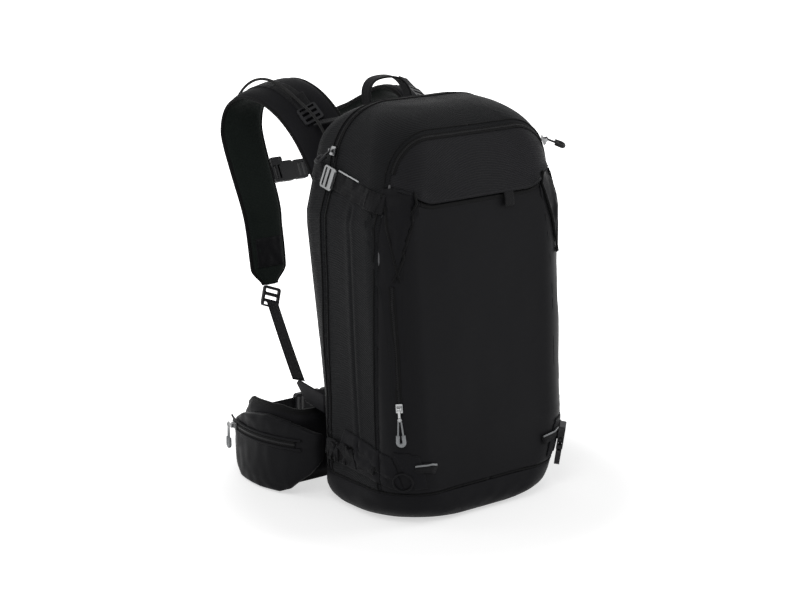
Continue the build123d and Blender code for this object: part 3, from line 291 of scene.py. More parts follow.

# %% [markdown]
# One function makes each finish from its texture group. Colour moves a little with the texture,
# as painted shade and highlight: the hollow between two ribs is painted darker and the ridge
# lighter. Roughness moves with the wear patches, and the texture's height goes through a Bump
# node. Sheen is a plain value on the shader: it gives cloth its pale edge where it turns away
# from the light.

# %% The finish maker
def finish(name, dark, light, rough, texture=None, values=(), coordinates="UV", bump=0.0003,
           strength=0.6, metal=0.0, sheen=0.0, specular=0.3, coat=0.0, patch=9.0, edge_gain=0.0):
    material = bpy.data.materials.new(name)
    material.use_nodes = True
    tree = material.node_tree
    shader = tree.nodes["Principled BSDF"]
    for label, value in (("Metallic", metal), ("Sheen Weight", sheen), ("Sheen Roughness", 0.4),
                         ("Specular IOR Level", specular), ("Coat Weight", coat)):
        shader.inputs[label].default_value = value
    place = add_node(tree, "TexCoord")
    worn = tree.nodes.new("ShaderNodeGroup")
    worn.node_tree = wear
    worn.inputs["Patch Scale"].default_value = patch
    tree.links.new(place.outputs["Object"], worn.inputs["Vector"])
    patches, specks, edges = [worn.outputs[k] for k in ("Patches", "Specks", "Edges")]
    height, shade = specks, patches
    if texture is not None:
        cloth = tree.nodes.new("ShaderNodeGroup")
        cloth.node_tree = texture
        for label, value in values:
            cloth.inputs[label].default_value = value
        tree.links.new(place.outputs[coordinates], cloth.inputs["Vector"])
        height = math_node(tree, "MULTIPLY_ADD", specks, 0.25, cloth.outputs["Height"])
        # The colour mixes the dust patches with the texture's painted shade and highlight.
        shade = math_node(tree, "MULTIPLY_ADD", patches, 0.6,
                          math_node(tree, "MULTIPLY", cloth.outputs["Shade"], 0.6))
    if edge_gain:
        shade = math_node(tree, "MULTIPLY_ADD", edges, edge_gain, shade)
    colour = tree.nodes.new("ShaderNodeMix")
    colour.data_type = "RGBA"
    colour.inputs["A"].default_value, colour.inputs["B"].default_value = (*dark, 1), (*light, 1)
    tree.links.new(math_node(tree, "MULTIPLY", shade, 1.0, clamp=True), colour.inputs["Factor"])
    tree.links.new(colour.outputs["Result"], shader.inputs["Base Color"])
    roughness = math_node(tree, "MULTIPLY_ADD", patches, 0.22, rough - 0.11)
    tree.links.new(roughness, shader.inputs["Roughness"])
    bumped = add_node(tree, "Bump", Distance=bump, Strength=strength, Height=height)
    tree.links.new(bumped.outputs["Normal"], shader.inputs["Normal"])
    return material


RIPSTOP = (("Rib Pitch", 0.0034), ("Rib Depth", 1.0), ("Thread Pitch", 0.0007))
SATIN = (("Rib Pitch", 0.0011), ("Rib Depth", 0.25), ("Thread Pitch", 0.0005))
LOOKS = {
    "front_satin": finish("front_satin", (0.0079, 0.0079, 0.009), (0.012, 0.012, 0.013), 0.46, ribbed,
                          SATIN, bump=0.00010, sheen=0.021, specular=0.046),
    "side_ripstop": finish("side_ripstop", (0.0066, 0.0068, 0.0076), (0.015, 0.0155, 0.0165), 0.55, ribbed,
                           RIPSTOP, bump=0.00045, strength=0.8, sheen=0.034, specular=0.041),
    "lid_ripstop": finish("lid_ripstop", (0.0088, 0.0088, 0.0098), (0.021, 0.021, 0.023), 0.50, ribbed,
                          RIPSTOP, bump=0.00045, strength=0.8, sheen=0.029, specular=0.043),
    "boot_cloth": finish("boot_cloth", (0.0075, 0.0075, 0.0083), (0.013, 0.013, 0.015), 0.52, ribbed,
                         (("Rib Pitch", 0.0016), ("Rib Depth", 0.5), ("Thread Pitch", 0.0008)),
                         bump=0.0002, sheen=0.025, specular=0.043),
    "strap_cloth": finish("strap_cloth", (0.0075, 0.0075, 0.0083), (0.015, 0.015, 0.017), 0.6, ribbed,
                          (("Rib Pitch", 0.0014), ("Rib Depth", 0.5), ("Thread Pitch", 0.0007)),
                          bump=0.0002, sheen=0.042, specular=0.034),
    "strap_mesh": finish("strap_mesh", (0.0053, 0.0075, 0.0067), (0.015, 0.019, 0.017), 0.72, knit,
                         (("Cell", 0.0022),), bump=0.0004, sheen=0.063, specular=0.027),
    "back_mesh": finish("back_mesh", (0.0045, 0.0045, 0.0053), (0.017, 0.017, 0.018), 0.75, knit,
                        (("Cell", 0.0042),), bump=0.0008, strength=0.8, sheen=0.063, specular=0.027),
    "binding": finish("binding", (0.006, 0.006, 0.0067), (0.011, 0.011, 0.011), 0.6, twill,
                      (("Row Pitch", 0.0012), ("Stripe", 0.0014)), bump=0.0002, sheen=0.032, specular=0.034),
    "webbing": finish("webbing", (0.0067, 0.0067, 0.0075), (0.016, 0.016, 0.017), 0.55, twill,
                      (("Row Pitch", 0.0021), ("Stripe", 0.0027)), bump=0.0004, strength=0.9,
                      sheen=0.038, specular=0.041),
    "zip_tape": finish("zip_tape", (0.006, 0.006, 0.0067), (0.011, 0.011, 0.011), 0.55, twill,
                       (("Row Pitch", 0.0009), ("Stripe", 0.0009)), bump=0.0002, specular=0.041),
    "zip_coil": finish("zip_coil", (0.006, 0.006, 0.0065), (0.013, 0.013, 0.014), 0.45, specular=0.12,
                       bump=0.0001),
    "reflective": finish("reflective", (0.36, 0.37, 0.38), (0.55, 0.56, 0.57), 0.42, knit,
                         (("Cell", 0.0008),), bump=0.00005, specular=0.5),
    "grey_cord": finish("grey_cord", (0.16, 0.165, 0.17), (0.30, 0.31, 0.32), 0.6, specular=0.35,
                        bump=0.00015, sheen=0.2, patch=60.0),
    "grip_rubber": finish("grip_rubber", (0.20, 0.21, 0.22), (0.30, 0.31, 0.32), 0.5, specular=0.4,
                          bump=0.00006, coat=0.1),
    "buckle_plastic": finish("buckle_plastic", (0.006, 0.006, 0.007), (0.016, 0.016, 0.018), 0.40,
                             specular=0.16, bump=0.00006, edge_gain=0.9, patch=30.0),
    "hook_metal": finish("hook_metal", (0.15, 0.152, 0.155), (0.26, 0.263, 0.266), 0.38, metal=0.85,
                         specular=0.5, bump=0.00003, edge_gain=0.6, patch=40.0),
    "slider_chrome": finish("slider_chrome", (0.20, 0.203, 0.206), (0.34, 0.343, 0.346), 0.30, metal=1.0,
                            specular=0.5, bump=0.00003, edge_gain=0.5, patch=60.0),
    "handle_red": finish("handle_red", (0.30, 0.022, 0.016), (0.46, 0.045, 0.03), 0.45, specular=0.4,
                         bump=0.00008, edge_gain=0.5, patch=30.0),
    "inner_plastic": finish("inner_plastic", (0.04, 0.04, 0.045), (0.08, 0.08, 0.085), 0.5,
                            specular=0.4, bump=0.00008, edge_gain=0.4),
    "pale_plastic": finish("pale_plastic", (0.55, 0.55, 0.53), (0.75, 0.75, 0.72), 0.5, specular=0.4,
                           bump=0.00008),
    "bare_metal": finish("bare_metal", (0.5, 0.5, 0.51), (0.7, 0.7, 0.71), 0.34, metal=1.0, bump=0.00004,
                         edge_gain=0.4),
    "airbag_cloth": finish("airbag_cloth", (0.50, 0.10, 0.03), (0.70, 0.17, 0.05), 0.5, ribbed,
                           SATIN, coordinates="Object", bump=0.0002, sheen=0.1),
    "lining": finish("lining", (0.08, 0.08, 0.085), (0.13, 0.13, 0.135), 0.65, ribbed, SATIN,
                     coordinates="Object", bump=0.0001, sheen=0.1),
    "cell_wrap": finish("cell_wrap", (0.03, 0.08, 0.25), (0.06, 0.14, 0.38), 0.3, specular=0.5,
                        bump=0.00004),
    "cable_jacket": finish("cable_jacket", (0.006, 0.006, 0.006), (0.012, 0.012, 0.012), 0.60,
                           specular=0.10, bump=0.00005, patch=50.0),
}
print("finishes:", len(LOOKS))

# %% [markdown]
# ## Tools for sewing
# Soft pieces are made from rows of points: a row runs round or across the piece, and the next
# row lies a little further along it. A grid like this keeps the fabric's own direction, so its
# texture coordinates can be real metres of cloth, and a weave has the same scale everywhere.

# %% Mesh and path helpers
PACK = "pack"


def unit(v):
    return v / np.maximum(np.linalg.norm(v, axis=-1, keepdims=True), 1e-12)


def ramp(x, low, high):
    t = np.clip((np.asarray(x, float) - low) / (high - low), 0, 1)
    return t * t * (3 - 2 * t)


def rough_field(points, size, seed=0.0):
    """Smooth noise from -1 to 1 at each point. Size is how far apart its bumps are, in metres."""
    return np.array([noise.noise(Vector(p) / size + Vector((seed, seed * 1.7, -seed))) for p in points])


def smooth_path(points, count):
    """Points spaced evenly along a smooth curve through the given ones."""
    p = np.asarray(points, float)
    p = np.vstack([2 * p[0] - p[1], p, 2 * p[-1] - p[-2]])
    fine = []
    for i in range(1, len(p) - 2):
        t = np.linspace(0, 1, 24, endpoint=False)[:, None]
        a, b, c, d = p[i - 1], p[i], p[i + 1], p[i + 2]
        fine.append(0.5 * (2 * b + (c - a) * t + (2 * a - 5 * b + 4 * c - d) * t ** 2
                           + (3 * b - a - 3 * c + d) * t ** 3))
    fine = np.vstack(fine + [p[-2][None]])
    run = np.concatenate([[0], np.cumsum(np.linalg.norm(np.diff(fine[:, :3], axis=0), axis=1))])
    at = np.linspace(0, run[-1], count)
    return np.stack([np.interp(at, run, fine[:, k]) for k in range(fine.shape[1])], 1)


def tangents(path):
    return unit(np.gradient(path, axis=0))


def new_piece(name, verts, faces, looks, body=PACK, uvs=None, face_looks=None, replaces=()):
    """A smooth mesh piece that rides on a body. Looks are the names of its finishes."""
    mesh = bpy.data.meshes.new(name)
    mesh.from_pydata([tuple(v) for v in verts], [], [tuple(f) for f in faces])
    looks = [looks] if isinstance(looks, str) else list(looks)
    for look in looks:
        mesh.materials.append(LOOKS[look])
    mesh.polygons.foreach_set("use_smooth", [True] * len(mesh.polygons))
    if face_looks is not None:
        mesh.polygons.foreach_set("material_index", [int(i) for i in face_looks])
    if uvs is not None:
        layer = mesh.uv_layers.new(name="cloth")
        corners = np.zeros(len(mesh.loops), np.int64)
        mesh.loops.foreach_get("vertex_index", corners)
        layer.data.foreach_set("uv", np.asarray(uvs, float)[corners].ravel())
    piece = bpy.data.objects.new(name, mesh)
    bpy.context.scene.collection.objects.link(piece)
    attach(piece, body)
    if replaces:
        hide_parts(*replaces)
    return piece


def ring_faces(rows, columns):
    """Faces of a tube of rows, each a closed ring of columns, with its two ends shut."""
    faces = []
    for r in range(rows - 1):
        for c in range(columns):
            d = (c + 1) % columns
            faces.append((r * columns + c, r * columns + d, (r + 1) * columns + d, (r + 1) * columns + c))
    faces.append(tuple(range(columns))[::-1])
    faces.append(tuple((rows - 1) * columns + c for c in range(columns)))
    return faces


def web_section(width, thick, across=8):
    """A webbing's section as (across, out) points: flat faces, rounded and slightly fuller edges."""
    half, t = width / 2, thick / 2
    spread = np.linspace(-half + t, half - t, across)
    fuller = 1 + 0.12 * (np.abs(spread) > half * 0.8)
    top = np.stack([spread, t * fuller], 1)
    return np.vstack([[-half, 0], top, [half, 0], (top * [1, -1])[::-1]])


BIND, PAD_ACROSS = 0.0048, 17
BOUND_EDGE = ((0.001, 0.30), (BIND * 0.55, 0.36), (BIND * 0.85, 0.26))


def pad_section(width, thick):
    """A foam pad's section: a crowned face each side and a flat bound edge all round."""
    half, t = width / 2, thick / 2
    core = np.linspace(-half + BIND, half - BIND, PAD_ACROSS)
    crown = t * (1 - np.abs(core / (half - BIND)) ** 5 * 0.55)
    top = np.vstack([[(-half + x, t * h) for x, h in BOUND_EDGE], np.stack([core, crown], 1),
                     [(half - x, t * h) for x, h in BOUND_EDGE[::-1]]])
    return np.vstack([[-half, 0], top, [half, 0], (top * [1, -1])[::-1]])


def loft(name, path, across, sections, looks, body=PACK, face_looks=None, replaces=(),
         wobble=None):
    """A piece whose section is carried along a path. Across is the section's first direction at each
    point. Wobble adds a shift along the second one, from (row, section points)."""
    path, across = np.asarray(path, float), np.asarray(across, float)
    t = tangents(path)
    across = unit(across - t * np.sum(across * t, 1, keepdims=True))
    out = unit(np.cross(t, across))
    run = np.concatenate([[0], np.cumsum(np.linalg.norm(np.diff(path, axis=0), axis=1))])
    verts, uvs = [], []
    for i, p in enumerate(path):
        s = sections[i] if isinstance(sections, list) else sections
        rise = s[:, 1] + (wobble(i, s) if wobble else 0)
        verts.append(p + across[i] * s[:, :1] + out[i] * rise[:, None])
        uvs.append(np.stack([np.full(len(s), run[i]), s[:, 0]], 1))
    columns = len(verts[0])
    faces = ring_faces(len(path), columns)
    looks_of = None
    if face_looks is not None:
        looks_of = [face_looks(c, columns) for _ in range(len(path) - 1) for c in range(columns)] + [0, 0]
    return new_piece(name, np.vstack(verts), faces, looks, body, np.vstack(uvs), looks_of, replaces)


def tube(name, path, radius, look, body=PACK, sides=8):
    path = np.asarray(path, float)
    t = tangents(path)
    side = unit(np.cross(t, np.array([0.31, 0.2, 0.93])))
    turn = np.arange(sides) * FULL_TURN / sides
    section = np.stack([np.cos(turn), np.sin(turn)], 1) * radius
    return loft(name, path, side, section, look, body)


def joined(name, pieces, replaces=()):
    """Joins pieces into the first one, so that a mirrored pair is one piece of the pack."""
    with bpy.context.temp_override(active_object=pieces[0], selected_editable_objects=pieces):
        bpy.ops.object.join()
    pieces[0].name = name
    if replaces:
        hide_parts(*replaces)
    return pieces[0]


print("sewing tools ready")

# %% [markdown]
# ## The bag's form
# The bag is a body of rounded sections. Its sides widen up to the shoulders and lean in above
# them, its front leans back, and its corners are rounder at the bottom. The same sections that
# shaped the CAD shells give each row of cloth here, so every panel lies where its shell is.

# %% Sections of the bag, in millimetres
BAG_H, HIP_HALF_W, SHOULDER_HALF_W, SHOULDER_Z = 548.0, 151.0, 159.0, 405.0
FRONT_BASE_Y, FRONT_TOP_Y, FRONT_LEAN_Z, BACK_Y = -117.0, -90.0, 120.0, 98.0
SIDE_TOP_R, FRONT_TOP_R, BACK_TOP_R, BOTTOM_R = 80.0, 85.0, 60.0, 26.0
FRONT_CORNER_R, FRONT_CORNER_LOW_R, BACK_CORNER_R, BACK_CORNER_LOW_R = 50.0, 105.0, 28.0, 74.0
MAIN_ZIP_Y, LID_ZIP_Y, LID_EDGE_Z, BASE_SEAM_Z = 41.0, -70.0, 434.0, 46.0
LEAN = math.radians(14)
SIDE_ARC_Z = BAG_H - SIDE_TOP_R
SIDE_TANGENT_Z = SIDE_ARC_Z + SIDE_TOP_R * math.sin(LEAN)
SIDE_ARC_X = SHOULDER_HALF_W - (SIDE_TANGENT_Z - SHOULDER_Z) * math.tan(LEAN) - SIDE_TOP_R * math.cos(LEAN)


def arc_reach(radius, rise):
    return math.sqrt(max(0.0, radius ** 2 - rise ** 2))


def rounded_edge(wall, top_r, z, grow):
    if z > BAG_H - top_r:
        return wall - top_r + arc_reach(top_r + grow, z - (BAG_H - top_r))
    if z < BOTTOM_R:
        return wall - BOTTOM_R + arc_reach(BOTTOM_R + grow, BOTTOM_R - z)
    return wall + grow


def half_width(z, grow=0.0):
    if z > SIDE_TANGENT_Z + grow * math.sin(LEAN):
        return SIDE_ARC_X + arc_reach(SIDE_TOP_R + grow, z - SIDE_ARC_Z)
    if z > SHOULDER_Z:
        return SHOULDER_HALF_W - (z - SHOULDER_Z) * math.tan(LEAN) + grow / math.cos(LEAN)
    return rounded_edge(HIP_HALF_W + (SHOULDER_HALF_W - HIP_HALF_W) * max(z, 0) / SHOULDER_Z, 0, z, grow)


def front_y(z, grow=0.0):
    share = min(max((z - FRONT_LEAN_Z) / (BAG_H - FRONT_TOP_R - FRONT_LEAN_Z), 0), 1)
    return -rounded_edge(-(FRONT_BASE_Y + (FRONT_TOP_Y - FRONT_BASE_Y) * share), FRONT_TOP_R, z, grow)


def back_y(z, grow=0.0):
    return rounded_edge(BACK_Y, BACK_TOP_R, z, grow)


def front_corner(z, grow=0.0):
    low = max(0.0, 1 - z / FRONT_LEAN_Z)
    radius = FRONT_CORNER_R + (FRONT_CORNER_LOW_R - FRONT_CORNER_R) * low ** 2 + grow
    return min(radius, half_width(z, grow) * 0.96, (back_y(z, grow) - front_y(z, grow)) * 0.56)


def back_corner(z, grow=0.0):
    share = min(max((z - 150) / 235, 0), 1)
    radius = BACK_CORNER_LOW_R + (BACK_CORNER_R - BACK_CORNER_LOW_R) * share + grow
    return min(radius, half_width(z, grow) * 0.9, (back_y(z, grow) - front_y(z, grow)) * 0.4)


SIDE_STEPS, BACK_STEPS, ARC_STEPS, FRONT_STEPS = 50, 60, 18, 70


def bag_ring(z):
    """The points round the bag at height z, each always on the same thread of cloth."""
    w, yf, yb, rf, rb = half_width(z), front_y(z), back_y(z), front_corner(z), back_corner(z)

    def line(a, b, n):
        return np.array(a) + (np.array(b) - a) * (np.arange(n) / n)[:, None]

    def arc(centre, r, start, n):
        a = np.radians(start + 90 * np.arange(n) / n)
        return np.array(centre) + r * np.stack([np.cos(a), np.sin(a)], 1)

    plan = np.vstack([
        line((w, yf + rf), (w, yb - rb), SIDE_STEPS), arc((w - rb, yb - rb), rb, 0, ARC_STEPS),
        line((w - rb, yb), (rb - w, yb), BACK_STEPS), arc((rb - w, yb - rb), rb, 90, ARC_STEPS),
        line((-w, yb - rb), (-w, yf + rf), SIDE_STEPS), arc((rf - w, yf + rf), rf, 180, ARC_STEPS),
        line((rf - w, yf), (w - rf, yf), FRONT_STEPS), arc((w - rf, yf + rf), rf, 270, ARC_STEPS)])
    return np.column_stack([plan, np.full(len(plan), z)])


bottom_z = [BOTTOM_R * (1 - math.cos(math.radians(a))) for a in range(0, 90, 9)]
wall_z = list(np.arange(BOTTOM_R, BAG_H - FRONT_TOP_R, 4.0))
top_z = [BAG_H - FRONT_TOP_R + FRONT_TOP_R * math.sin(math.radians(a)) for a in np.arange(0, 90.1, 2.25)]
rings = [bag_ring(z) for z in bottom_z + wall_z + top_z]
CLOSING = (0.93, 0.84, 0.72, 0.58, 0.42, 0.25, 0.1)


def closed_by(ring):
    """Smaller and smaller copies of a ring, down to almost nothing at its middle."""
    middle = np.array([0, (ring[:, 1].min() + ring[:, 1].max()) / 2, ring[0, 2]])
    return [middle + (ring - middle) * share for share in CLOSING]


rings = closed_by(rings[0])[::-1] + rings + closed_by(rings[-1])
ROWS, COLUMNS = len(rings), len(rings[0])
form = np.array(rings)
print("bag form:", ROWS, "rows of", COLUMNS, "points")

# %% [markdown]
# ## Seams and folds
# Fabric tells its story through its seams: it dips where it is stitched, swells between the
# stitch lines and wrinkles where it is pulled. All three are small shifts of the surface along
# its own normal, worked out from the distance to each seam line.

# %% Where the side's seams run, on the left, in millimetres
LID_DIP = 24.0


def lid_edge(x):
    """Height of the lid's lower edge: level across the front, and up at both corners."""
    return LID_EDGE_Z + LID_DIP * ramp(np.abs(x), 78, 146)


SIDE_SEAMS = [
    [(-156, -14, 426), (-157, -16, 380), (-156, -18, 300), (-154, -22, 200), (-152, -29, 90)],
    [(-155, -54, 431), (-153, -66, 380), (-149, -78, 330), (-143, -86, 290), (-141, -92, 240),
     (-139, -96, 165)],
    [(-150, 51, 112), (-152, 20, 100), (-151, -26, 92), (-143, -72, 88)],
    [(-146, -84, 172), (-143, -90, 120), (-131, -98, 70)],
]
GUSSET = np.array([(-150, -77, 462), (-106, -98, 451), (-141, -95, 350)], float)


def to_line(p, line):
    """Distance from each point to a line of straight runs."""
    best = np.full(len(p), 1e9)
    for a, b in zip(np.asarray(line, float)[:-1], np.asarray(line, float)[1:]):
        t = np.clip((p - a) @ (b - a) / ((b - a) @ (b - a)), 0, 1)
        best = np.minimum(best, np.linalg.norm(p - (a + t[:, None] * (b - a)), axis=1))
    return best


def inside_gusset(p):
    """1 well inside the wedge panel at the front corner, and 0 outside it, seen in the wall's plane."""
    u = np.stack([p[:, 0] * 0.7 - p[:, 1] * 0.7, p[:, 2]], 1)
    corners = np.stack([GUSSET[:, 0] * 0.7 - GUSSET[:, 1] * 0.7, GUSSET[:, 2]], 1)
    depth = np.full(len(p), 1e9)
    for a, b in ((0, 1), (1, 2), (2, 0)):
        edge = corners[b] - corners[a]
        inward = np.array([-edge[1], edge[0]]) / np.linalg.norm(edge)
        if (corners[3 - a - b] - corners[a]) @ inward < 0:
            inward = -inward
        depth = np.minimum(depth, (u - corners[a]) @ inward)
    return ramp(depth, 0, 5) * (p[:, 0] < -60) * (p[:, 1] < -50)


ZIP_DIP, ZIP_SPREAD, SEAM_DIP, SEAM_SPREAD = 1.5, 3.0, 1.6, 2.2
BASE_SPREAD, SEAM_SWELL, SWELL_AWAY, SWELL_SPREAD = 2.6, 0.7, 6, 4
STRAP_PINCHES, PINCH_DIP, GUSSET_DIP = ((448, 20), (82, 18)), 1.8, 5.0


def bell(distance, spread):
    """1 on a line, falling smoothly to 0 a few spreads away from it."""
    return np.exp(-(distance / spread) ** 2)


def sewn_shift(p):
    """How far the cloth stands off the plain form at each point, in millimetres."""
    left = np.column_stack([-np.abs(p[:, 0]), p[:, 1], p[:, 2]])
    shift = np.zeros(len(p))
    for zip_y in (LID_ZIP_Y, MAIN_ZIP_Y):
        shift -= ZIP_DIP * bell(p[:, 1] - zip_y, ZIP_SPREAD) * (p[:, 2] > BASE_SEAM_Z)
    shift -= SEAM_DIP * bell(p[:, 2] - BASE_SEAM_Z, BASE_SPREAD)
    for line in SIDE_SEAMS:
        d = to_line(left, line)
        shift += -SEAM_DIP * bell(d, SEAM_SPREAD) + SEAM_SWELL * bell(d - SWELL_AWAY, SWELL_SPREAD)
    side = ramp(-left[:, 0], 120, 145) * ramp(p[:, 1], -92, -60) * (1 - ramp(p[:, 1], 60, 90))
    front = ramp(-p[:, 1], 70, 95)
    wall = ramp(p[:, 2], 46, 90) * (1 - ramp(p[:, 2], 470, 520))
    metres = p * MM
    # Three sizes of noise: pulls between seams, fine crumple and the broad bulge of the load.
    pull = rough_field(metres * [1, 1, 0.45], 0.034, 3.0)
    fine = rough_field(metres * [0.7, 0.7, 1.6], 0.012, 7.0)
    broad = rough_field(metres, 0.11, 11.0)
    shift += side * wall * (1.1 * pull + 0.30 * fine + 1.2 * broad)
    shift += front * wall * (0.35 * pull + 0.10 * fine + 1.5 * broad)
    # The compression straps pinch the sides and crease the cloth round them.
    pinch = sum(bell(p[:, 2] - z, spread) for z, spread in STRAP_PINCHES)
    shift -= side * pinch * PINCH_DIP
    creases = rough_field(metres * [1, 1.3, 3.4], 0.016, 19.0)
    shift += side * pinch * creases * 1.1
    shift += (1 - ramp(p[:, 2], 95, 150)) * (p[:, 2] > 50) * ramp(-left[:, 0], 60, 120) * creases
    top = ramp(p[:, 2], 500, 545)
    shift += top * (1.4 * broad + 0.5 * pull)
    shift += front * ramp(p[:, 2], 441, 470) * (0.5 * pull + 0.8 * broad)
    shift -= GUSSET_DIP * inside_gusset(left)
    shift += rough_field(metres * [1, 1, 2], 0.02, 23.0) * (1 - ramp(p[:, 2], 20, 60))
    base = ramp(p[:, 2], 1, 12)
    return shift * base


print("seam lines:", len(SIDE_SEAMS), "a side")

# %% [markdown]
# The whole bag is first one mesh, which is then cut along the seams into its panels: the zip
# arches run in flat planes, the boot's seam is level, and the lid's edge rises at its corners.
# Because the panels are cut from one mesh, their edges meet exactly, as sewn cloth does.

# %% Cut the form into panels
flat = form.reshape(-1, 3)
run_round = np.cumsum(np.linalg.norm(np.diff(form, axis=1, append=form[:, :1]), axis=2), axis=1)
run_up = np.cumsum(np.linalg.norm(np.diff(form, axis=0, prepend=form[:1]), axis=2), axis=0)
middle_row = ROWS // 2
cloth_at = np.stack([np.broadcast_to(run_round[middle_row], (ROWS, COLUMNS)), run_up], 2).reshape(-1, 2) * MM
whole = bpy.data.meshes.new("bag_form")
whole.from_pydata([tuple(v) for v in flat], [], ring_faces(ROWS, COLUMNS))
layer = whole.uv_layers.new(name="cloth")
corners = np.zeros(len(whole.loops), np.int64)
whole.loops.foreach_get("vertex_index", corners)
layer.data.foreach_set("uv", cloth_at[corners].ravel())
bm = bmesh.new()
bm.from_mesh(whole)


def cut(level, axis, where=lambda c: True):
    faces = [f for f in bm.faces if where(f.calc_center_median())]
    geometry = faces + list({e for f in faces for e in f.edges}) + list({v for f in faces for v in f.verts})
    normal = [0, 0, 0]
    normal[axis] = 1
    bmesh.ops.bisect_plane(bm, geom=geometry, dist=1e-4, plane_co=[n * level for n in normal],
                           plane_no=normal)


cut(LID_ZIP_Y, 1, lambda c: c.z > BASE_SEAM_Z - 8)
cut(MAIN_ZIP_Y, 1, lambda c: c.z > BASE_SEAM_Z - 8)
cut(BASE_SEAM_Z, 2)
rise = {v: float(lid_edge(v.co.x)) - LID_EDGE_Z for v in bm.verts if v.co.y < LID_ZIP_Y + 1 and v.co.z > 300}
for v, lift in rise.items():
    v.co.z -= lift
old = set(bm.verts)
cut(LID_EDGE_Z, 2, lambda c: c.y < LID_ZIP_Y and c.z > 320)
for v in bm.verts:
    if v in rise:
        v.co.z += rise[v]
    elif v not in old:
        v.co.z += float(lid_edge(v.co.x)) - LID_EDGE_Z
bm.normal_update()
bm.verts.index_update()
plain = np.array([v.co for v in bm.verts])
normals = np.array([v.normal for v in bm.verts])
if normals[np.argmax(plain[:, 2])][2] < 0:
    normals = -normals
sewn = plain + normals * sewn_shift(plain)[:, None]
sewn[:, 2] = np.maximum(sewn[:, 2], 0.2)
print("cut form:", len(plain), "points")

# %% Panels, each with its own thickness, finish and swell
def panel_of(c):
    if c.z < BASE_SEAM_Z:
        return "base_boot"
    if c.y > MAIN_ZIP_Y:
        return "rear_compartment"
    if c.y > LID_ZIP_Y:
        return "main_compartment"
    return "lid_pocket" if c.z > float(lid_edge(c.x)) else "front_pocket"


PANELS = {"base_boot": ("boot_cloth", "boot_fabric"), "rear_compartment": ("side_ripstop", "side_fabric"),
          "main_compartment": ("side_ripstop", "side_fabric"), "lid_pocket": ("lid_ripstop", "lid_fabric"),
          "front_pocket": ("front_satin", "front_fabric")}
LID_HEM, POCKET_TUCK = 3.0, 2.0
CLOTH = 1.4 * MM
uv_layer = bm.loops.layers.uv.active
groups = {name: [] for name in PANELS}
for f in bm.faces:
    groups[panel_of(f.calc_center_median())].append(f)
for name, faces in groups.items():
    used = sorted({v.index for f in faces for v in f.verts})
    new_index = {old_i: i for i, old_i in enumerate(used)}
    points, outward = sewn[used].copy(), normals[used]
    below = points[:, 2] - lid_edge(points[:, 0])
    if name == "lid_pocket":
        hem = LID_HEM * (1 - ramp(below, 0, 16)) + bell(below - 3, 2.5)
        points += outward * (hem * ramp(-points[:, 1], 72, 86))[:, None]
    if name == "front_pocket":
        points -= outward * (POCKET_TUCK * ramp(below, -12, 0) * ramp(-points[:, 1], 72, 86))[:, None]
    look, slot = PANELS[name]
    piece = new_piece("bag_" + name, points * MM, [[new_index[v.index] for v in f.verts] for f in faces],
                      look, replaces=(name,))
    layer = piece.data.uv_layers.new(name="cloth")
    layer.data.foreach_set("uv", np.array([loop[uv_layer].uv for f in faces for loop in f.loops]).ravel())
    shell = piece.modifiers.new("cloth", "SOLIDIFY")
    shell.thickness, shell.offset = CLOTH, -1.0
    print(piece.name, len(faces), "faces")
surface = BVHTree.FromPolygons([Vector(v * MM) for v in sewn], [[v.index for v in f.verts] for f in bm.faces])
bm.free()
bpy.data.meshes.remove(whole)

# %% [markdown]
# ## Strips that lie on the bag
# Zip tapes, compression straps, storm flaps and piping all lie on the sewn surface. A strip is
# laid by finding the nearest point of that surface for every station of its path, then lifting
# its section off along the surface's own direction, so it follows each dip and swell.

# %% Laying strips on the bag
def on_bag(point, lift=0.0):
    at, normal, _, _ = surface.find_nearest(Vector(point))
    return np.array(at + normal * lift), np.array(normal)


def bag_strip(name, points, width, thick, look, lift=0.0, count=60, taper=None, section=None):
    """A flat strip along points near the bag, in millimetres. Lift is the gap beneath it."""
    path = smooth_path(np.array(points) * MM, count)
    laid = [on_bag(p, (lift + thick / 2) * MM) for p in path]
    path, normal = np.array([a for a, _ in laid]), np.array([n for _, n in laid])
    across = np.cross(normal, tangents(path))
    sections = section if section is not None else web_section(width * MM, thick * MM)
    if taper is not None:
        share = np.linspace(0, 1, count)
        sections = [sections * [taper(s), 1] for s in share]
    return loft(name, path, -across, sections, look)


def arch_points(y, ends=(True, True)):
    """Points up the left side, over the top and down the right side in one plane across the bag."""
    centre = Vector((0, y * MM, 0.40))
    over = []
    for a in np.linspace(-64, 64, 65):
        way = Vector((math.sin(math.radians(a)), 0, math.cos(math.radians(a))))
        over.append(np.array(surface.ray_cast(centre + way * 0.4, -way)[0]) / MM)
    walls = []
    for z in np.linspace(BASE_SEAM_Z + 2, over[0][2] - 12, 40):
        hit = surface.ray_cast(Vector((-0.4, y * MM, z * MM)), Vector((1, 0, 0)))[0]
        walls.append(np.array(hit) / MM)
    left = walls if ends[0] else []
    right = [w * [-1, 1, 1] for w in walls[::-1]] if ends[1] else []
    return left + over + right


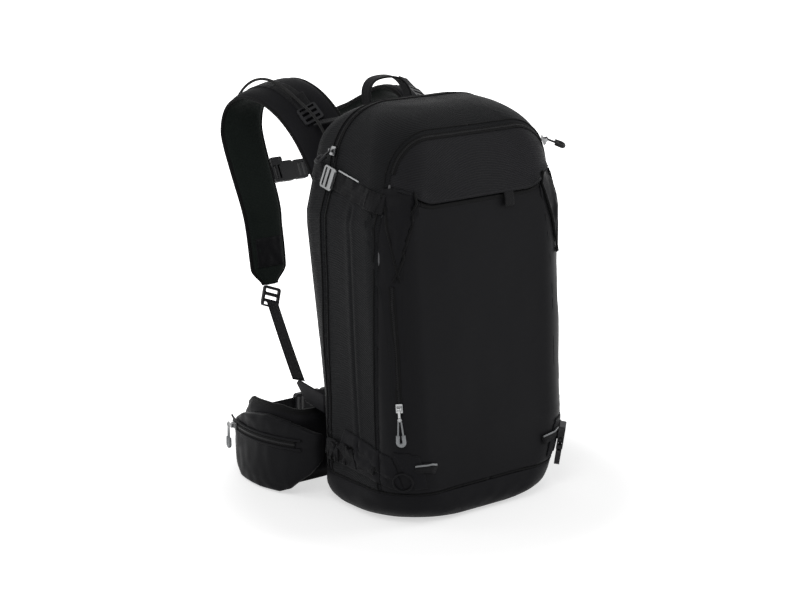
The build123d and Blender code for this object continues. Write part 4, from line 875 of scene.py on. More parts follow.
def zip_coil(name, points, width, lift, count):
    """The coil down the middle of a zip: a row of small slanted beads."""
    path = smooth_path(np.array(points) * MM, count)
    verts, faces = [], []
    t = tangents(path)
    for i, p in enumerate(path):
        at, normal = on_bag(p, lift * MM)
        side = np.cross(normal, t[i])
        sign = 1 if i % 2 else -1
        half = (side * width * 0.5 + t[i] * 0.35 * sign) * MM
        deep, high = t[i] * 0.45 * MM, normal * 0.55 * MM
        base = len(verts)
        verts += [at - half - deep, at - half + deep, at + half + deep, at + half - deep]
        verts += [v + high for v in (at - half * 0.7 - deep, at - half * 0.7 + deep, at + half * 0.7 + deep,
                                     at + half * 0.7 - deep)]
        faces += [tuple(base + k for k in f) for f in ((0, 3, 2, 1), (4, 5, 6, 7), (0, 1, 5, 4), (1, 2, 6, 5),
                                                       (2, 3, 7, 6), (3, 0, 4, 7))]
    return new_piece(name, verts, faces, "zip_coil")


print("surface ready for strips")

# %% [markdown]
# The trigger cable is a free cord, so it keeps its real length: it leaves the control box inside
# the pack, climbs inside the bag, comes out behind the shoulder and runs over the left strap to
# the trigger's dock. One NURBS spline through the CAD route's points is its line.

# %% Trigger cable
CABLE_D = 0.004
CHEST_TOP, CHEST_LOW = np.array([0, 344, 446.0]), np.array([0, 306, 366.0])
CHEST_DOWN = unit(CHEST_LOW - CHEST_TOP)
CHEST_OUT = np.array([0, -CHEST_DOWN[2], CHEST_DOWN[1]])
DOCK_X, DOCK_DOWN, DOCK_RISE, PULL_TILT = -82, 8, 13.1, math.radians(12)
PULL_DIR = CHEST_DOWN * math.cos(PULL_TILT) + CHEST_OUT * math.sin(PULL_TILT)
DOCK_AT = (np.array([DOCK_X, 0, 0]) + CHEST_TOP + CHEST_DOWN * DOCK_DOWN
           + CHEST_OUT * (DOCK_RISE + 13 * math.sin(PULL_TILT)))
CABLE_END = DOCK_AT - PULL_DIR * 13.3
CABLE_POINTS = [
    (-46.3, 73.9, 236), (-66, 73.9, 236), (-86, 70, 262), (-98, 64, 310), (-106, 62, 358), (-110, 66, 398),
    (-109, 74, 436), (-106, 90, 470), (-102, 114, 498), (-98, 144, 518), (-95, 178, 530), (-92, 216, 543),
    (-88, 258, 552), (-84, 302, 549), (-82, 338, 533), (-82, 362, 508), tuple(CABLE_END - PULL_DIR * 26),
    tuple(CABLE_END)]
curve = bpy.data.curves.new("trigger_cable_run", "CURVE")
curve.dimensions, curve.bevel_depth, curve.bevel_resolution = "3D", CABLE_D / 2, 3
curve.resolution_u, curve.use_fill_caps = 12, True
line = curve.splines.new("NURBS")
line.points.add(len(CABLE_POINTS) - 1)
for spot, p in zip(line.points, CABLE_POINTS):
    spot.co = (*[c * MM for c in p], 1)
line.order_u, line.use_endpoint_u = 3, True
curve.materials.append(LOOKS["cable_jacket"])
cable = bpy.data.objects.new("trigger_cable_run", curve)
bpy.context.scene.collection.objects.link(cable)
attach(cable, PACK)
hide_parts("trigger_cable")
# The handle carries a stiff wire end that slides out of the dock, so a pull shows no gap.
WIRE_LEN, WIRE_R = 49.5, 0.75
wire = [(DOCK_AT - PULL_DIR * s) * MM for s in np.linspace(0, WIRE_LEN, 8)]
tube("trigger_wire_end", np.array(wire), WIRE_R * MM, "bare_metal", "trigger")
print("trigger cable:", len(CABLE_POINTS), "points")

# %% [markdown]
# ## Zips, piping and flaps
# The two arch zips run over the top and the short pocket zip stands on the front left corner.
# Each is a woven tape with a coil of small beads down its middle. A thin cord of piping marks
# the sewn edge beside it, and a folded storm flap shades the zip from the front.

# %% Zips
TAPE_LIFT, TAPE_T, TAPE_W, COIL_W = 0.3, 0.9, 9.0, 3.4
main_arch = [p for p in arch_points(MAIN_ZIP_Y) if p[2] > 474]
lid_arch = [p for p in arch_points(LID_ZIP_Y) if p[2] > 474]
corner_zip = []
for z in np.linspace(160, 330, 24):
    r = front_corner(z)
    reach = r - r * math.sqrt(0.5)
    corner_zip.append((-half_width(z) + reach, front_y(z) + reach, z))
ZIPS = {"main": (main_arch, 120, 300), "lid": (lid_arch, 120, 260), "side": (corner_zip, 50, 130)}
tapes = [bag_strip(f"zip_tape_{name}", line, TAPE_W, TAPE_T, "zip_tape", TAPE_LIFT, rows)
         for name, (line, rows, _) in ZIPS.items()]
joined("zip_tapes_sewn", tapes, ("zip_tapes",))
for name, (line, _, beads) in ZIPS.items():
    zip_coil(f"zip_coil_{name}", line, COIL_W, TAPE_LIFT + TAPE_T, beads)
print("zips laid")

# %% Piping and flaps along the seams
PIPING_R = 0.9


def piping(name, points, count, radius=PIPING_R, sink=0.2):
    path = smooth_path(np.array(points) * MM, count)
    path = np.array([on_bag(p, (radius - sink) * MM)[0] for p in path])
    return tube(name, path, radius * MM, "binding")


FLAP_LIFT, FLAP_ENDS = 0.6, 0.08


def folded_flap(name, points, width, count, look, rise):
    """A storm flap: a folded strip with one sewn edge low and the other standing proud."""
    spread = np.linspace(-0.5, 0.5, 9)
    shape = rise * (0.35 + 0.65 * np.sin(np.pi * np.clip(spread + 0.62, 0, 1)))
    top = np.stack([spread * width, shape + FLAP_LIFT], 1)
    under = np.stack([spread * width, shape * 0.2 + FLAP_LIFT - 0.5], 1)[::-1]
    section = np.vstack([top, under]) * MM
    close = lambda s: min(1.0, 0.15 + min(s, 1 - s) / FLAP_ENDS)
    return bag_strip(name, points, width, 0.0, look, 0.0, count, section=section, taper=close)


for side, way in ((-1, "left"), (1, "right")):
    for y, edge in ((MAIN_ZIP_Y + 6.2, "rear"), (MAIN_ZIP_Y - 6.2, "fore")):
        line = [p for p in arch_points(y, ends=(side < 0, side > 0)) if side * p[0] > -1]
        piping(f"piping_main_{edge}_{way}", line if side < 0 else line[::-1], 150)
    line = [p for p in arch_points(LID_ZIP_Y + 6.0, ends=(side < 0, side > 0)) if side * p[0] > -1]
    piping(f"piping_lid_{way}", line, 150)
    flap_line = [(side * -x, y, z) for x, y, z in
                 [(-154, -55, 432), (-152, -64, 392), (-148, -76, 345), (-143, -87, 300), (-140, -94, 250),
                  (-139, -98, 200), (-139, -100, 160)]]
    folded_flap(f"pocket_flap_rear_{way}", [(x * 0.995, y + 7.5, z) for x, y, z in flap_line], 15, 70,
                "side_ripstop", rise=3.4)
    front_line = [(side * -x, y, z) for x, y, z in
                  [(-112, -98, 446), (-118, -101, 400), (-126, -102, 350), (-130, -103, 300),
                   (-128, -106, 240), (-127, -109, 165)]]
    folded_flap(f"pocket_flap_front_{way}", front_line, 12, 70, "front_satin", rise=3.2)
    # The two thick wedge cords are dark lines laid on the corner wedge's diagonal folds as painted shadow:
    # they stand in for the shadow gap of each deep fold.
    wedge_fold_shadow_lines = [[(-150, -70, 452), (-147, -82, 405), (-141, -93, 355), (-138, -97, 338)],
            [(-112, -98, 449), (-124, -99, 405), (-138, -96, 355), (-144, -90, 338)]]
    for part, line in zip(("rear", "fore"), wedge_fold_shadow_lines):
        piping(f"wedge_{part}_{way}", [(side * -x, y, z) for x, y, z in line], 12, 1.7, sink=-0.6)
    piping(f"boot_piping_{way}", [(side * x, y, 47) for x, y in
                                  ((2, -117), (60, -117), (110, -100), (146, -60), (150, 0), (147, 50),
                                   (120, 84), (60, 97), (2, 97))], 120, 1.0)
print("piping and flaps laid")

# %% [markdown]
# The lid's front edge hangs a little over the pocket beneath it. A folded hem gives it the
# weight of doubled cloth, and a narrow facing inside the pocket's mouth keeps its edge crisp.

# %% Lid hem, pocket mouth and wedge panels
hem_x = np.linspace(-128, 128, 60)
hem_path = [(x, front_y(lid_edge(x)) - 2, float(lid_edge(x)) + 2.0) for x in hem_x]
for i, x in enumerate(hem_x):
    z = float(lid_edge(x)) + 2.0
    r, w, yf = front_corner(z), half_width(z), front_y(z)
    if abs(x) > w - r:
        hem_path[i] = (x, yf + r - arc_reach(r, abs(x) - (w - r)), z)
bag_strip("lid_hem", hem_path, 5.0, 1.6, "lid_ripstop", 2.0, 110)
mouth = [(x, y + 0.5, z - 7.0) for x, y, z in hem_path[6:-6]]
bag_strip("pocket_mouth_facing", mouth, 5.0, 1.0, "binding", -0.6, 100)


def patch_on_bag(name, corners, lift, look, rows=22, bulge=0.0, crease=0.0):
    """A sewn patch between two edges, each given as points in millimetres. It follows the bag."""
    first, second = [smooth_path(np.array(e, float) * MM, rows) for e in corners]
    verts, uvs = [], []
    columns = 15
    for i in range(rows):
        for k, s in enumerate(np.linspace(0, 1, columns)):
            p = first[i] * (1 - s) + second[i] * s
            puff = math.sin(math.pi * s) * math.sin(math.pi * min(max(i / (rows - 1), 0.02), 0.98))
            ripple = crease * noise.noise(Vector(p) / 0.012) * puff
            verts.append(on_bag(p, (lift + bulge * puff + ripple) * MM)[0])
            uvs.append((np.linalg.norm(second[i] - first[i]) * s, i * 0.004))
    faces = [(i * columns + k, i * columns + k + 1, (i + 1) * columns + k + 1, (i + 1) * columns + k)
             for i in range(rows - 1) for k in range(columns - 1)]
    piece = new_piece(name, verts, faces, look, uvs=uvs)
    shell = piece.modifiers.new("cloth", "SOLIDIFY")
    shell.thickness, shell.offset = 0.9 * MM, 0.0
    return piece


TAB_LINE = [(-120, -103, 93), (-112, -106, 91), (-103, -109, 89), (-94, -110, 87)]
for side, way in ((1, "left"), (-1, "right")):
    def at(*points):
        return [(x * side, y, z) for x, y, z in points]

    patch_on_bag(f"corner_wedge_{way}", (at((-151, -68, 458), (-149, -78, 410), (-141, -95, 352)),
                                         at((-114, -97, 449), (-124, -99, 405), (-138, -96, 352))),
                 1.2, "front_satin", bulge=3.0, crease=1.2)
    patch_on_bag(f"hip_gusset_{way}", (at((-151, 2, 118), (-150, -40, 112), (-139, -88, 100)),
                                       at((-151, 30, 66), (-149, -30, 62), (-128, -94, 55))),
                 0.8, "boot_cloth", bulge=4.5, crease=3.0, rows=40)
    patch_on_bag(f"axe_patch_{way}", (at((-142, -90, 108), (-133, -99, 82), (-118, -104, 56)),
                                      at((-120, -108, 106), (-110, -110, 82), (-104, -110, 56))),
                 1.0, "boot_cloth", bulge=0.8, crease=1.0)
    bag_strip(f"reflective_tab_{way}", at(*TAB_LINE), 2.6, 1.2, "grey_cord", 3.4, 5)
    bag_strip(f"reflective_tab_web_{way}", at(*[(x, y, z - 5) for x, y, z in TAB_LINE]), 13.0, 1.6, "webbing",
              1.6, 5)
print("lid edge, wedges and gussets sewn")

# %% [markdown]
# ## Webbing
# Flat webbing is modelled directly: a thin strip with rounded, slightly thicker edges. Where two
# layers are stitched together, a bar of dense zigzag stitches (a bartack) holds them.

# %% Compression straps, keepers and bartacks
WEB_T, WEB_W, NARROW_W = 1.8, 25.0, 20.0
UPPER_BAND_Z, LOWER_BAND_Z, REFLECTIVE_Z, KEEPER_HALF_L, KEEPER_LIFT = 448, 82, 462, 14, 5.2
SLOPE = math.tan(math.radians(10))


def bartack(name, centre, along, width, lift):
    """A bar of zigzag stitches across a strip on the bag."""
    along = unit(np.array(along, float))
    at, normal = on_bag(np.array(centre) * MM, lift * MM)
    side = unit(np.cross(normal, along))
    t = unit(np.cross(side, normal))
    steps = np.arange(25)
    path = [at + side * (s / 24 - 0.5) * width * MM + t * (0.9 if s % 2 else -0.9) * MM for s in steps]
    return tube(name, path, 0.32 * MM, "zip_coil", sides=5)


def side_band(name, side, z0, y0, y1, slope, width=WEB_W, lift=0.5, count=50):
    points = []
    for y in np.linspace(y0, y1, 30):
        z = z0 + y * slope
        w = half_width(z)
        rf, rb = front_corner(z), back_corner(z)
        if y < front_y(z) + rf:
            w -= rf - arc_reach(rf, front_y(z) + rf - y)
        if y > back_y(z) - rb:
            w -= rb - arc_reach(rb, y - back_y(z) + rb)
        points.append((side * w, y, z))
    return bag_strip(name, points, width, WEB_T, "webbing", lift, count)


upper = [side_band(f"upper_band_{i}", side, UPPER_BAND_Z, a, b, SLOPE)
         for i, (side, a, b) in enumerate([(-1, -64, 30), (-1, 50, 82), (1, -64, 30), (1, 50, 82)])]
joined("upper_compression_straps", upper, ("upper_compression_webbing",))
lower = [side_band("lower_band_left", -1, LOWER_BAND_Z, -62, 45, 0, lift=2.4),
         side_band("lower_band_right", 1, LOWER_BAND_Z, -96, 80, 0, lift=2.0)]
joined("lower_compression_straps", lower, ("lower_compression_webbing",))
keepers = [side_band(f"keeper_{i}", -1, LOWER_BAND_Z, y - KEEPER_HALF_L, y + KEEPER_HALF_L, 0, 29,
                     KEEPER_LIFT, 20) for i, y in enumerate((-8, 28))]
joined("ski_keepers", keepers, ("ski_strap_keepers",))
for side, way in ((-1, "left"), (1, "right")):
    side_band(f"upper_sewn_end_{way}", side, UPPER_BAND_Z, -70, -42, SLOPE, 26, 2.8, 20)
    bartack(f"bartack_upper_front_{way}", (side * 150, -66, 436), (0, -1, -0.17), 22, lift=5.0)
    bartack(f"bartack_upper_mid_{way}", (side * 150, -45, 440), (0, -1, -0.17), 22, lift=5.0)
    bartack(f"bartack_lower_{way}", (side * 148, -58, LOWER_BAND_Z), (0, -1, 0), 22, lift=4.6)
    stripe = side_band(f"reflective_edge_{way}", side, REFLECTIVE_Z, -20, 24, SLOPE, 2.4, 1.0, 20)
    stripe.data.materials[0] = LOOKS["reflective"]
print("compression straps laid")

# %% Haul loop, gear loop and front tab
def web_loop(name, points, width, thick, across, body, count, replaces=()):
    path = smooth_path(np.array(points) * MM, count)
    return loft(name, path, np.tile(across, (count, 1)), web_section(width * MM, thick * MM), "webbing",
                body, replaces=replaces)


base_y, base_z = back_y(512, 0.3) + 9.5, 512.0
web_loop("haul_loop_web", [
    (-34, base_y, base_z - 2), (-36, base_y + 4, base_z + 22), (-32, base_y + 10, base_z + 40),
    (-20, base_y + 14, base_z + 51), (0, base_y + 15, base_z + 54), (20, base_y + 14, base_z + 51),
    (32, base_y + 10, base_z + 40), (36, base_y + 4, base_z + 22), (34, base_y, base_z - 2)],
    NARROW_W, 2.6, (0, 1, 0), "haul_loop", 90, ("haul_loop",))
wing_x = 177.5
web_loop("gear_loop_web", [
    (wing_x + 0.1, 140, 72), (wing_x + 1.6, 150, 70), (wing_x + 11, 160, 61), (wing_x + 13, 168, 58),
    (wing_x + 10, 176, 61), (wing_x - 0.4, 185, 70), (wing_x - 2.2, 195, 72)], 6, 4, (0, 0, 1), PACK, 50,
    ("gear_loop",))
tab_path = [(46, front_y(434) - 1.5, 437), (46, front_y(426) - 4.2, 428), (46, front_y(418) - 4.8, 418),
            (46, front_y(414) - 3.2, 415)]
web_loop("front_tab_web", tab_path, 17, 1.6, (1, 0, 0), PACK, 24, ("front_tab",))
print("loops made")

# %% [markdown]
# ## Shoulder straps
# A shoulder strap is foam between two fabrics, bound all round with a folded tape. Its outer
# face is smooth cloth with a ladder of webbing sewn down the middle, its inner face is mesh, and
# the foam wrinkles on the inside of the bend. One lofted section, crowned in the middle and flat
# at the bound edge, gives both faces.

# %% Padded shoulder straps
STRAP_X, STRAP_T = 80.0, 14.0
STRAP_LOWER = [(344, 446, 72, 0), (306, 366, 68, 0), (297, 332, 64, 0), (290, 292, 63, 0), (284, 250, 60, 0)]
STRAP_ROUTES = {
    -1: [(105.6, 412, 80, 0), (120, 446, 79, 12), (146, 482, 78, 24), (176, 508, 76, 31), (212, 527, 75, 29),
         (256, 537, 74, 22), (302, 531, 73, 12), (336, 509, 72, 4), (350, 478, 72, 0)] + STRAP_LOWER,
    1: [(106.2, 426, 80, 0), (112, 462, 79, 8), (124, 496, 78, 16), (150, 521, 76, 22), (184, 528, 75, 18),
        (224, 514, 74, 12), (262, 499, 73, 8), (300, 486, 72, 4), (331, 470, 72, 0)] + STRAP_LOWER}
STRAP_ROWS = 150


def strap_frame(side):
    """The strap's centre line, its width direction, its outward direction and its width."""
    line = smooth_path(np.array([(y, z, 0, w, r) for y, z, w, r in STRAP_ROUTES[side]], float), STRAP_ROWS)
    path = np.column_stack([np.full(STRAP_ROWS, side * STRAP_X), line[:, 0], line[:, 1]]) * MM
    t = tangents(path)
    normal = np.column_stack([np.zeros(STRAP_ROWS), -t[:, 2], t[:, 1]])
    a = np.radians(line[:, 4])[:, None]
    across = np.array([-side, 0, 0]) * np.cos(a) + normal * np.sin(a)
    return path, across, np.cross(t, across) * side, line[:, 3] * MM


def strap_sections(widths):
    share = np.linspace(0, 1, len(widths))
    closing = np.sqrt(np.clip(1 - ramp(share, 0.955, 1.0) * 0.78, 0, 1))
    thin = 1 - 0.35 * ramp(share, 0.96, 1.0)
    return [pad_section(w * c, STRAP_T * MM * k) for w, c, k in zip(widths, closing, thin)]


for side, way in ((-1, "left"), (1, "right")):
    path, across, outward, widths = strap_frame(side)
    bend = np.linalg.norm(np.gradient(tangents(path), axis=0), axis=1)
    bend = ramp(bend / bend.max(), 0.15, 0.8)

    def strap_wobble(i, s, path=path, side=side, bend=bend):
        inner = ramp(-s[:, 1] * side, 0.001, 0.005)
        p = path[i] + np.column_stack([s[:, 0], np.zeros((len(s), 2))])
        crease = rough_field(p * [0.5, 1.6, 1.6], 0.009, 31.0)
        soft_wave = rough_field(p, 0.045, 37.0)
        low_end = ramp(i / STRAP_ROWS, 0.86, 0.9) * (1 - ramp(i / STRAP_ROWS, 0.95, 0.99))
        return side * -inner * (bend[i] * crease * 0.0011 + low_end * crease * 0.0016) + soft_wave * 0.0006

    def strap_look(c, columns, side=side):
        half = columns // 2
        near_edge = min(c, abs(c - half), columns - c) <= 3
        return 2 if near_edge else (0 if (c < half) == (side > 0) else 1)

    pad = loft(f"shoulder_pad_{way}", path, across, strap_sections(widths),
               ["strap_cloth", "strap_mesh", "binding"], face_looks=strap_look,
               replaces=(f"shoulder_strap_{way}",), wobble=strap_wobble)
    ladder = slice(34, 118)
    rise = (STRAP_T / 2 + 0.7) * MM
    loft(f"strap_daisy_{way}", path[ladder] + outward[ladder] * rise, across[ladder],
         web_section(20 * MM, 1.4 * MM), "webbing")
    end = slice(int(STRAP_ROWS * 0.875), int(STRAP_ROWS * 0.955))
    loft(f"strap_end_patch_{way}", path[end] - outward[end] * (STRAP_T / 2 + 0.2) * MM, across[end],
         web_section(44 * MM, 1.2 * MM, 14), "front_satin",
         wobble=lambda i, s, p=path: rough_field(np.column_stack([s[:, 0], np.full(len(s), i * 0.003),
                                                 np.full(len(s), p[0][0])]), 0.007, 41.0) * 0.0011)
    for k, row in enumerate((34, 55, 76, 97, 117)):
        edge = np.linspace(-9.5, 9.5, 21)
        zig = [path[row] + outward[row] * (rise + 0.8 * MM) + across[row] * e * MM
               + tangents(path)[row] * (0.8 if n % 2 else -0.8) * MM for n, e in enumerate(edge)]
        tube(f"strap_bartack_{way}_{k}", zig, 0.3 * MM, "zip_coil", PACK, 5)
print("shoulder straps padded")

# %% Load lifters, strap webbing and stabiliser tabs
LIFTER_SEAT = 3


def harness_web(name, a, b, across, sag, count=30):
    a, b = np.array(a, float), np.array(b, float)
    s = np.linspace(0, 1, count)[:, None]
    path = (a * (1 - s) + b * s - np.array([0, 0, 1]) * sag * 4 * s * (1 - s)) * MM
    return loft(name, path, np.tile(across, (count, 1)), web_section(NARROW_W * MM, WEB_T * MM),
                "webbing")


lifters = []
for side in (-1, 1):
    y, z, width, roll = STRAP_ROUTES[side][LIFTER_SEAT]
    ya, za = STRAP_ROUTES[side][LIFTER_SEAT - 1][:2]
    yb, zb = STRAP_ROUTES[side][LIFTER_SEAT + 1][:2]
    t = unit(np.array([0, yb - ya, zb - za]))
    normal = np.array([0, -t[2], t[1]])
    a = math.radians(roll)
    across = np.array([-side * math.cos(a), 0, 0]) + normal * math.sin(a)
    outer = np.cross(t, across) * side
    seat = np.array([side * STRAP_X, y, z]) + outer * (STRAP_T / 2 + 0.3 + 2.25 + 0.6)
    web_end = seat - t * 20.6 + outer * 3.2
    web_start = (side * (STRAP_X - 14), back_y(524, 2.1) + 3.9, 524)
    lifters.append(harness_web(f"lifter_{side + 1}", web_start, web_end, (1, 0, -0.3 * side), 1.0))
    tail = seat + t * 14 + outer * 1.0
    lifters.append(harness_web(f"lifter_tail_{side + 1}", tail, tail + t * 26 - outer * 0.5, across, 0.6, 12))
joined("load_lifters", lifters, ("load_lifter_webbing",))

end = np.array([-STRAP_X, 284, 250.0])
apex = np.array([-132, 140, 148.0])
down = unit(apex - end)
lock_at = end + np.array([0, -1.5, -19])
webs, tabs = [], []
TAB_Y = 60.0
tab_root_z = 138
w, rb = half_width(tab_root_z, 1.5), back_corner(tab_root_z, 1.5)
root_x = w - (rb - arc_reach(rb, max(0.0, TAB_Y - back_y(tab_root_z, 1.5) + rb)))
for side in (1, -1):
    flip = np.array([side, 1, 1])
    webs.append(harness_web(f"strap_web_{side + 1}", (lock_at + down * 12) * flip, (apex - down * 1.5) * flip,
                            (0.95 * side, 0.3, 0), 2.0, 40))
    outline = [(-root_x, TAB_Y, 124), (-root_x, TAB_Y, 150), (-132, 140, 149.5), (-131, 147, 143),
               (-137, 116, 124)]
    centre = np.mean(outline, axis=0)
    rings = []
    for share in (1.0, 0.92, 0.6, 0.3):
        rings.append([centre + (np.array(p) - centre) * share for p in outline])
    side_dir = unit(np.cross(np.array([132 - root_x, 80, 0.0]), [0, 0, 1]))
    verts, faces = [], []
    for face_side in (1, -1):
        base = len(verts)
        for k, ring in enumerate(rings):
            puff = (0.7, 1.4, 1.9, 2.0)[k] * face_side
            verts += [(p + side_dir * puff) * flip * MM for p in ring]
        verts.append((centre + side_dir * 2.0 * face_side) * flip * MM)
        n = len(outline)
        for k in range(3):
            faces += [(base + k * n + j, base + k * n + (j + 1) % n, base + (k + 1) * n + (j + 1) % n,
                       base + (k + 1) * n + j) for j in range(n)]
        faces += [(base + 3 * n + j, base + 3 * n + (j + 1) % n, base + 4 * n) for j in range(n)]
    half = len(verts) // 2
    faces += [(j, (j + 1) % 5, half + (j + 1) % 5, half + j) for j in range(5)]
    tabs.append(new_piece(f"tab_{side + 1}", verts, faces, "boot_cloth", PACK))
joined("strap_webbing_pair", webs, ("strap_webbing",))
joined("stabiliser_tabs", tabs, ("strap_anchor_tabs",))
print("harness webbing hung")

# %% [markdown]
# ## Hip belt
# Each wing is a curved foam pad that wraps from the lumbar pad to the belt's webbing. It is made
# as a grid: one direction follows the wing's plan, the other its height, and the outline's top
# and bottom edges move along the way. Swelling the grid between its bound edges makes the foam.

# %% Wings
LUMBAR_HALF_W, WING_T, BELT_Y, BELT_Z = 104.0, 13.0, 278.0, 60.0
WING_ROUTE = [(-104.3, 107), (-132, 106), (-153, 110), (-166, 127), (-171, 160), (-164, 206), (-141, 250),
              (-104, 277)]
WING_TOP = [(100, 116), (112, 118), (130, 122), (165, 120), (205, 116), (232, 100), (250, 90), (266, 82),
            (279, 74)]
WING_LOW = [(100, 16), (110, 12), (120, 3), (160, 2), (200, 2), (232, 12), (250, 24), (266, 34), (279, 45)]


WING_ROWS, WING_COLUMNS, BOUND_FULL, END_FULL = 90, 30, 0.30, 0.55


def wing(name, side):
    rows, columns = WING_ROWS, WING_COLUMNS
    plan = smooth_path(np.array([(x, y, 0) for x, y in WING_ROUTE], float), rows)
    t = tangents(plan)
    out = np.column_stack([-t[:, 1], t[:, 0], np.zeros(rows)])
    verts, uvs, looks = [], [], []
    for i, p in enumerate(plan):
        top = np.interp(p[1], *np.array(WING_TOP).T)
        low = np.interp(p[1], *np.array(WING_LOW).T)
        for face in (1, -1):
            for k in range(columns):
                s = k / (columns - 1) if face > 0 else 1 - k / (columns - 1)
                z = low + (top - low) * s
                edge = min(s, 1 - s) * (top - low)
                swell = BOUND_FULL + (1 - BOUND_FULL) * ramp(edge, 3, 16)
                run = min(i, rows - 1 - i) / rows * 230
                swell *= END_FULL + (1 - END_FULL) * ramp(run, 0, 10)
                pull = noise.noise(Vector((p[0], p[1] * 1.4, z)) / 19.0) * 0.9 * (swell > 0.6)
                at = p + out[i] * face * (WING_T / 2 * swell + pull * 0.5)
                verts.append((at[0] * -side, at[1], z))
                uvs.append((i * 2.6 * MM, z * MM))
    ring = columns * 2
    faces = ring_faces(rows, ring)
    for _ in range(rows - 1):
        for c in range(ring):
            s = c % columns
            looks.append(2 if s < 2 or s > columns - 4 else (0 if c < columns else 1))
    piece = new_piece(f"hip_wing_pad_{name}", np.array(verts) * MM, faces,
                      ["strap_cloth", "strap_mesh", "binding"], PACK, uvs, looks + [2, 2],
                      replaces=(f"hip_wing_{name}",))


wing("left", -1)
wing("right", 1)
print("wings padded")

# %% [markdown]
# The hip pocket sits over the left wing. It is a D seen from the side: a panel of stretched
# cloth that swells out between its curved lower seam and a raised zip band. The panel is full in
# the middle and pinched at both ends, which is what sewing a curved gusset does.

# %% Hip pocket
POCKET_ARC = [(-158, 54), (-199, 158), (-176, 246)]
POCKET_TOP = [(50, 80), (56, 92), (80, 101), (110, 107), (138, 110), (170, 105), (200, 98), (225, 86),
              (240, 72), (250, 52)]
POCKET_LOW = [(50, 64), (58, 48), (68, 34), (80, 24), (95, 10), (112, 3), (150, 2), (205, 2), (225, 12),
              (240, 24), (250, 44)]
BELT_ZIP_Z, WELT_AWAY, WELT_W, WELT_T = 78.0, 6.5, 4.0, 2.6


def arc_through(a, b, c, count):
    """Points on the circle through three plan points."""
    (ax, ay), (bx, by), (cx, cy) = a, b, c
    far_a, far_b, far_c = ax ** 2 + ay ** 2, bx ** 2 + by ** 2, cx ** 2 + cy ** 2
    d = 2 * (ax * (by - cy) + bx * (cy - ay) + cx * (ay - by))
    x = (far_a * (by - cy) + far_b * (cy - ay) + far_c * (ay - by)) / d
    y = (far_a * (cx - bx) + far_b * (ax - cx) + far_c * (bx - ax)) / d
    start, middle, stop = [math.atan2(q - y, p - x) % FULL_TURN for p, q in (a, b, c)]
    angles = np.linspace(start, stop, count)
    r = math.hypot(ax - x, ay - y)
    return np.column_stack([x + r * np.cos(angles), y + r * np.sin(angles)]), (x, y, r)


rows, columns = 80, 44
POCKET_TALL, POCKET_BOXY, ZIP_BAND, POCKET_CREASE, POCKET_ROOM = 0.72, 0.42, 1.3, 1.4, 20.0
plan, (arc_x, arc_y, arc_r) = arc_through(*POCKET_ARC, rows)
wing_plan = smooth_path(np.array([(x, y, 0) for x, y in WING_ROUTE], float), 200)[:, :2]
verts, uvs = [], []
for i, (x, y) in enumerate(plan):
    top, low = np.interp(y, *np.array(POCKET_TOP).T), np.interp(y, *np.array(POCKET_LOW).T)
    out = np.array([x - arc_x, y - arc_y]) / arc_r
    room = POCKET_ROOM
    if y > 100:
        near = np.min(np.hypot(wing_plan[:, 0] - x, wing_plan[:, 1] - y))
        room = max(near - WING_T / 2 - 1.0, 4.0)
    ends = math.sqrt(max(0.0, 1 - (2 * i / (rows - 1) - 1) ** 8))
    for k in range(columns):
        a = k / columns * FULL_TURN
        c, s = math.cos(a), math.sin(a)
        rise = math.copysign(abs(s) ** POCKET_TALL, s)
        z = (top + low) / 2 + (top - low) / 2 * rise
        depth = math.copysign(abs(c) ** POCKET_BOXY, c)
        puff = (0.5 + 0.5 * depth) * ends
        band = ZIP_BAND * math.exp(-((z - BELT_ZIP_Z) / 6.0) ** 2) * (c > 0)
        wrinkle = noise.noise(Vector((x, y, z * 1.6)) / 15.0) * POCKET_CREASE * (c > 0)
        inward = room * (1 - puff) + 0.6 - (band + wrinkle) * max(depth, 0) * ends
        spot = np.array([x, y]) - out * inward
        verts.append((spot[0], spot[1], z))
        uvs.append((i * 2.7 * MM, z * MM))
pocket = new_piece("hip_pocket", np.array(verts) * MM, ring_faces(rows, columns), "front_satin", PACK,
                   uvs, replaces=("belt_pocket",))


def pocket_face(y, z, lift):
    """A point on the pocket's outer face, in millimetres, at a place along it and a height."""
    i = np.argmin(np.abs(plan[:, 1] - y))
    out = np.array([plan[i][0] - arc_x, plan[i][1] - arc_y]) / arc_r
    x = arc_x + math.sqrt(max(arc_r ** 2 - (y - arc_y) ** 2, 0)) * math.copysign(1, plan[i][0] - arc_x)
    return np.array([x + out[0] * lift, y + out[1] * lift, z]), np.array([out[0], out[1], 0])


def pocket_strip(name, stations, width, thick, look, lift, count):
    path = smooth_path(np.array([pocket_face(y, z, lift)[0] for y, z in stations]) * MM, count)
    outs = np.column_stack([path[:, 0] / MM - arc_x, path[:, 1] / MM - arc_y, np.zeros(count)])
    across = np.cross(unit(outs), tangents(path))
    return loft(name, path, -across, web_section(width * MM, thick * MM), look, PACK)


zip_run = [(y, BELT_ZIP_Z) for y in np.linspace(84, 226, 20)]
pocket_strip("belt_zip_tape", zip_run, TAPE_W, 1.0, "zip_tape", 0.6, 60)
pocket_strip("belt_zip_coil", zip_run, 3.2, 0.8, "zip_coil", 1.2, 60)
for edge, away in (("top", WELT_AWAY), ("low", -WELT_AWAY)):
    welt = [(y, BELT_ZIP_Z + away) for y in np.linspace(76, 232, 20)]
    pocket_strip(f"belt_zip_welt_{edge}", welt, WELT_W, WELT_T, "front_satin", 0.9, 60)
print("hip pocket:", len(verts), "points, arc radius", round(arc_r, 1))

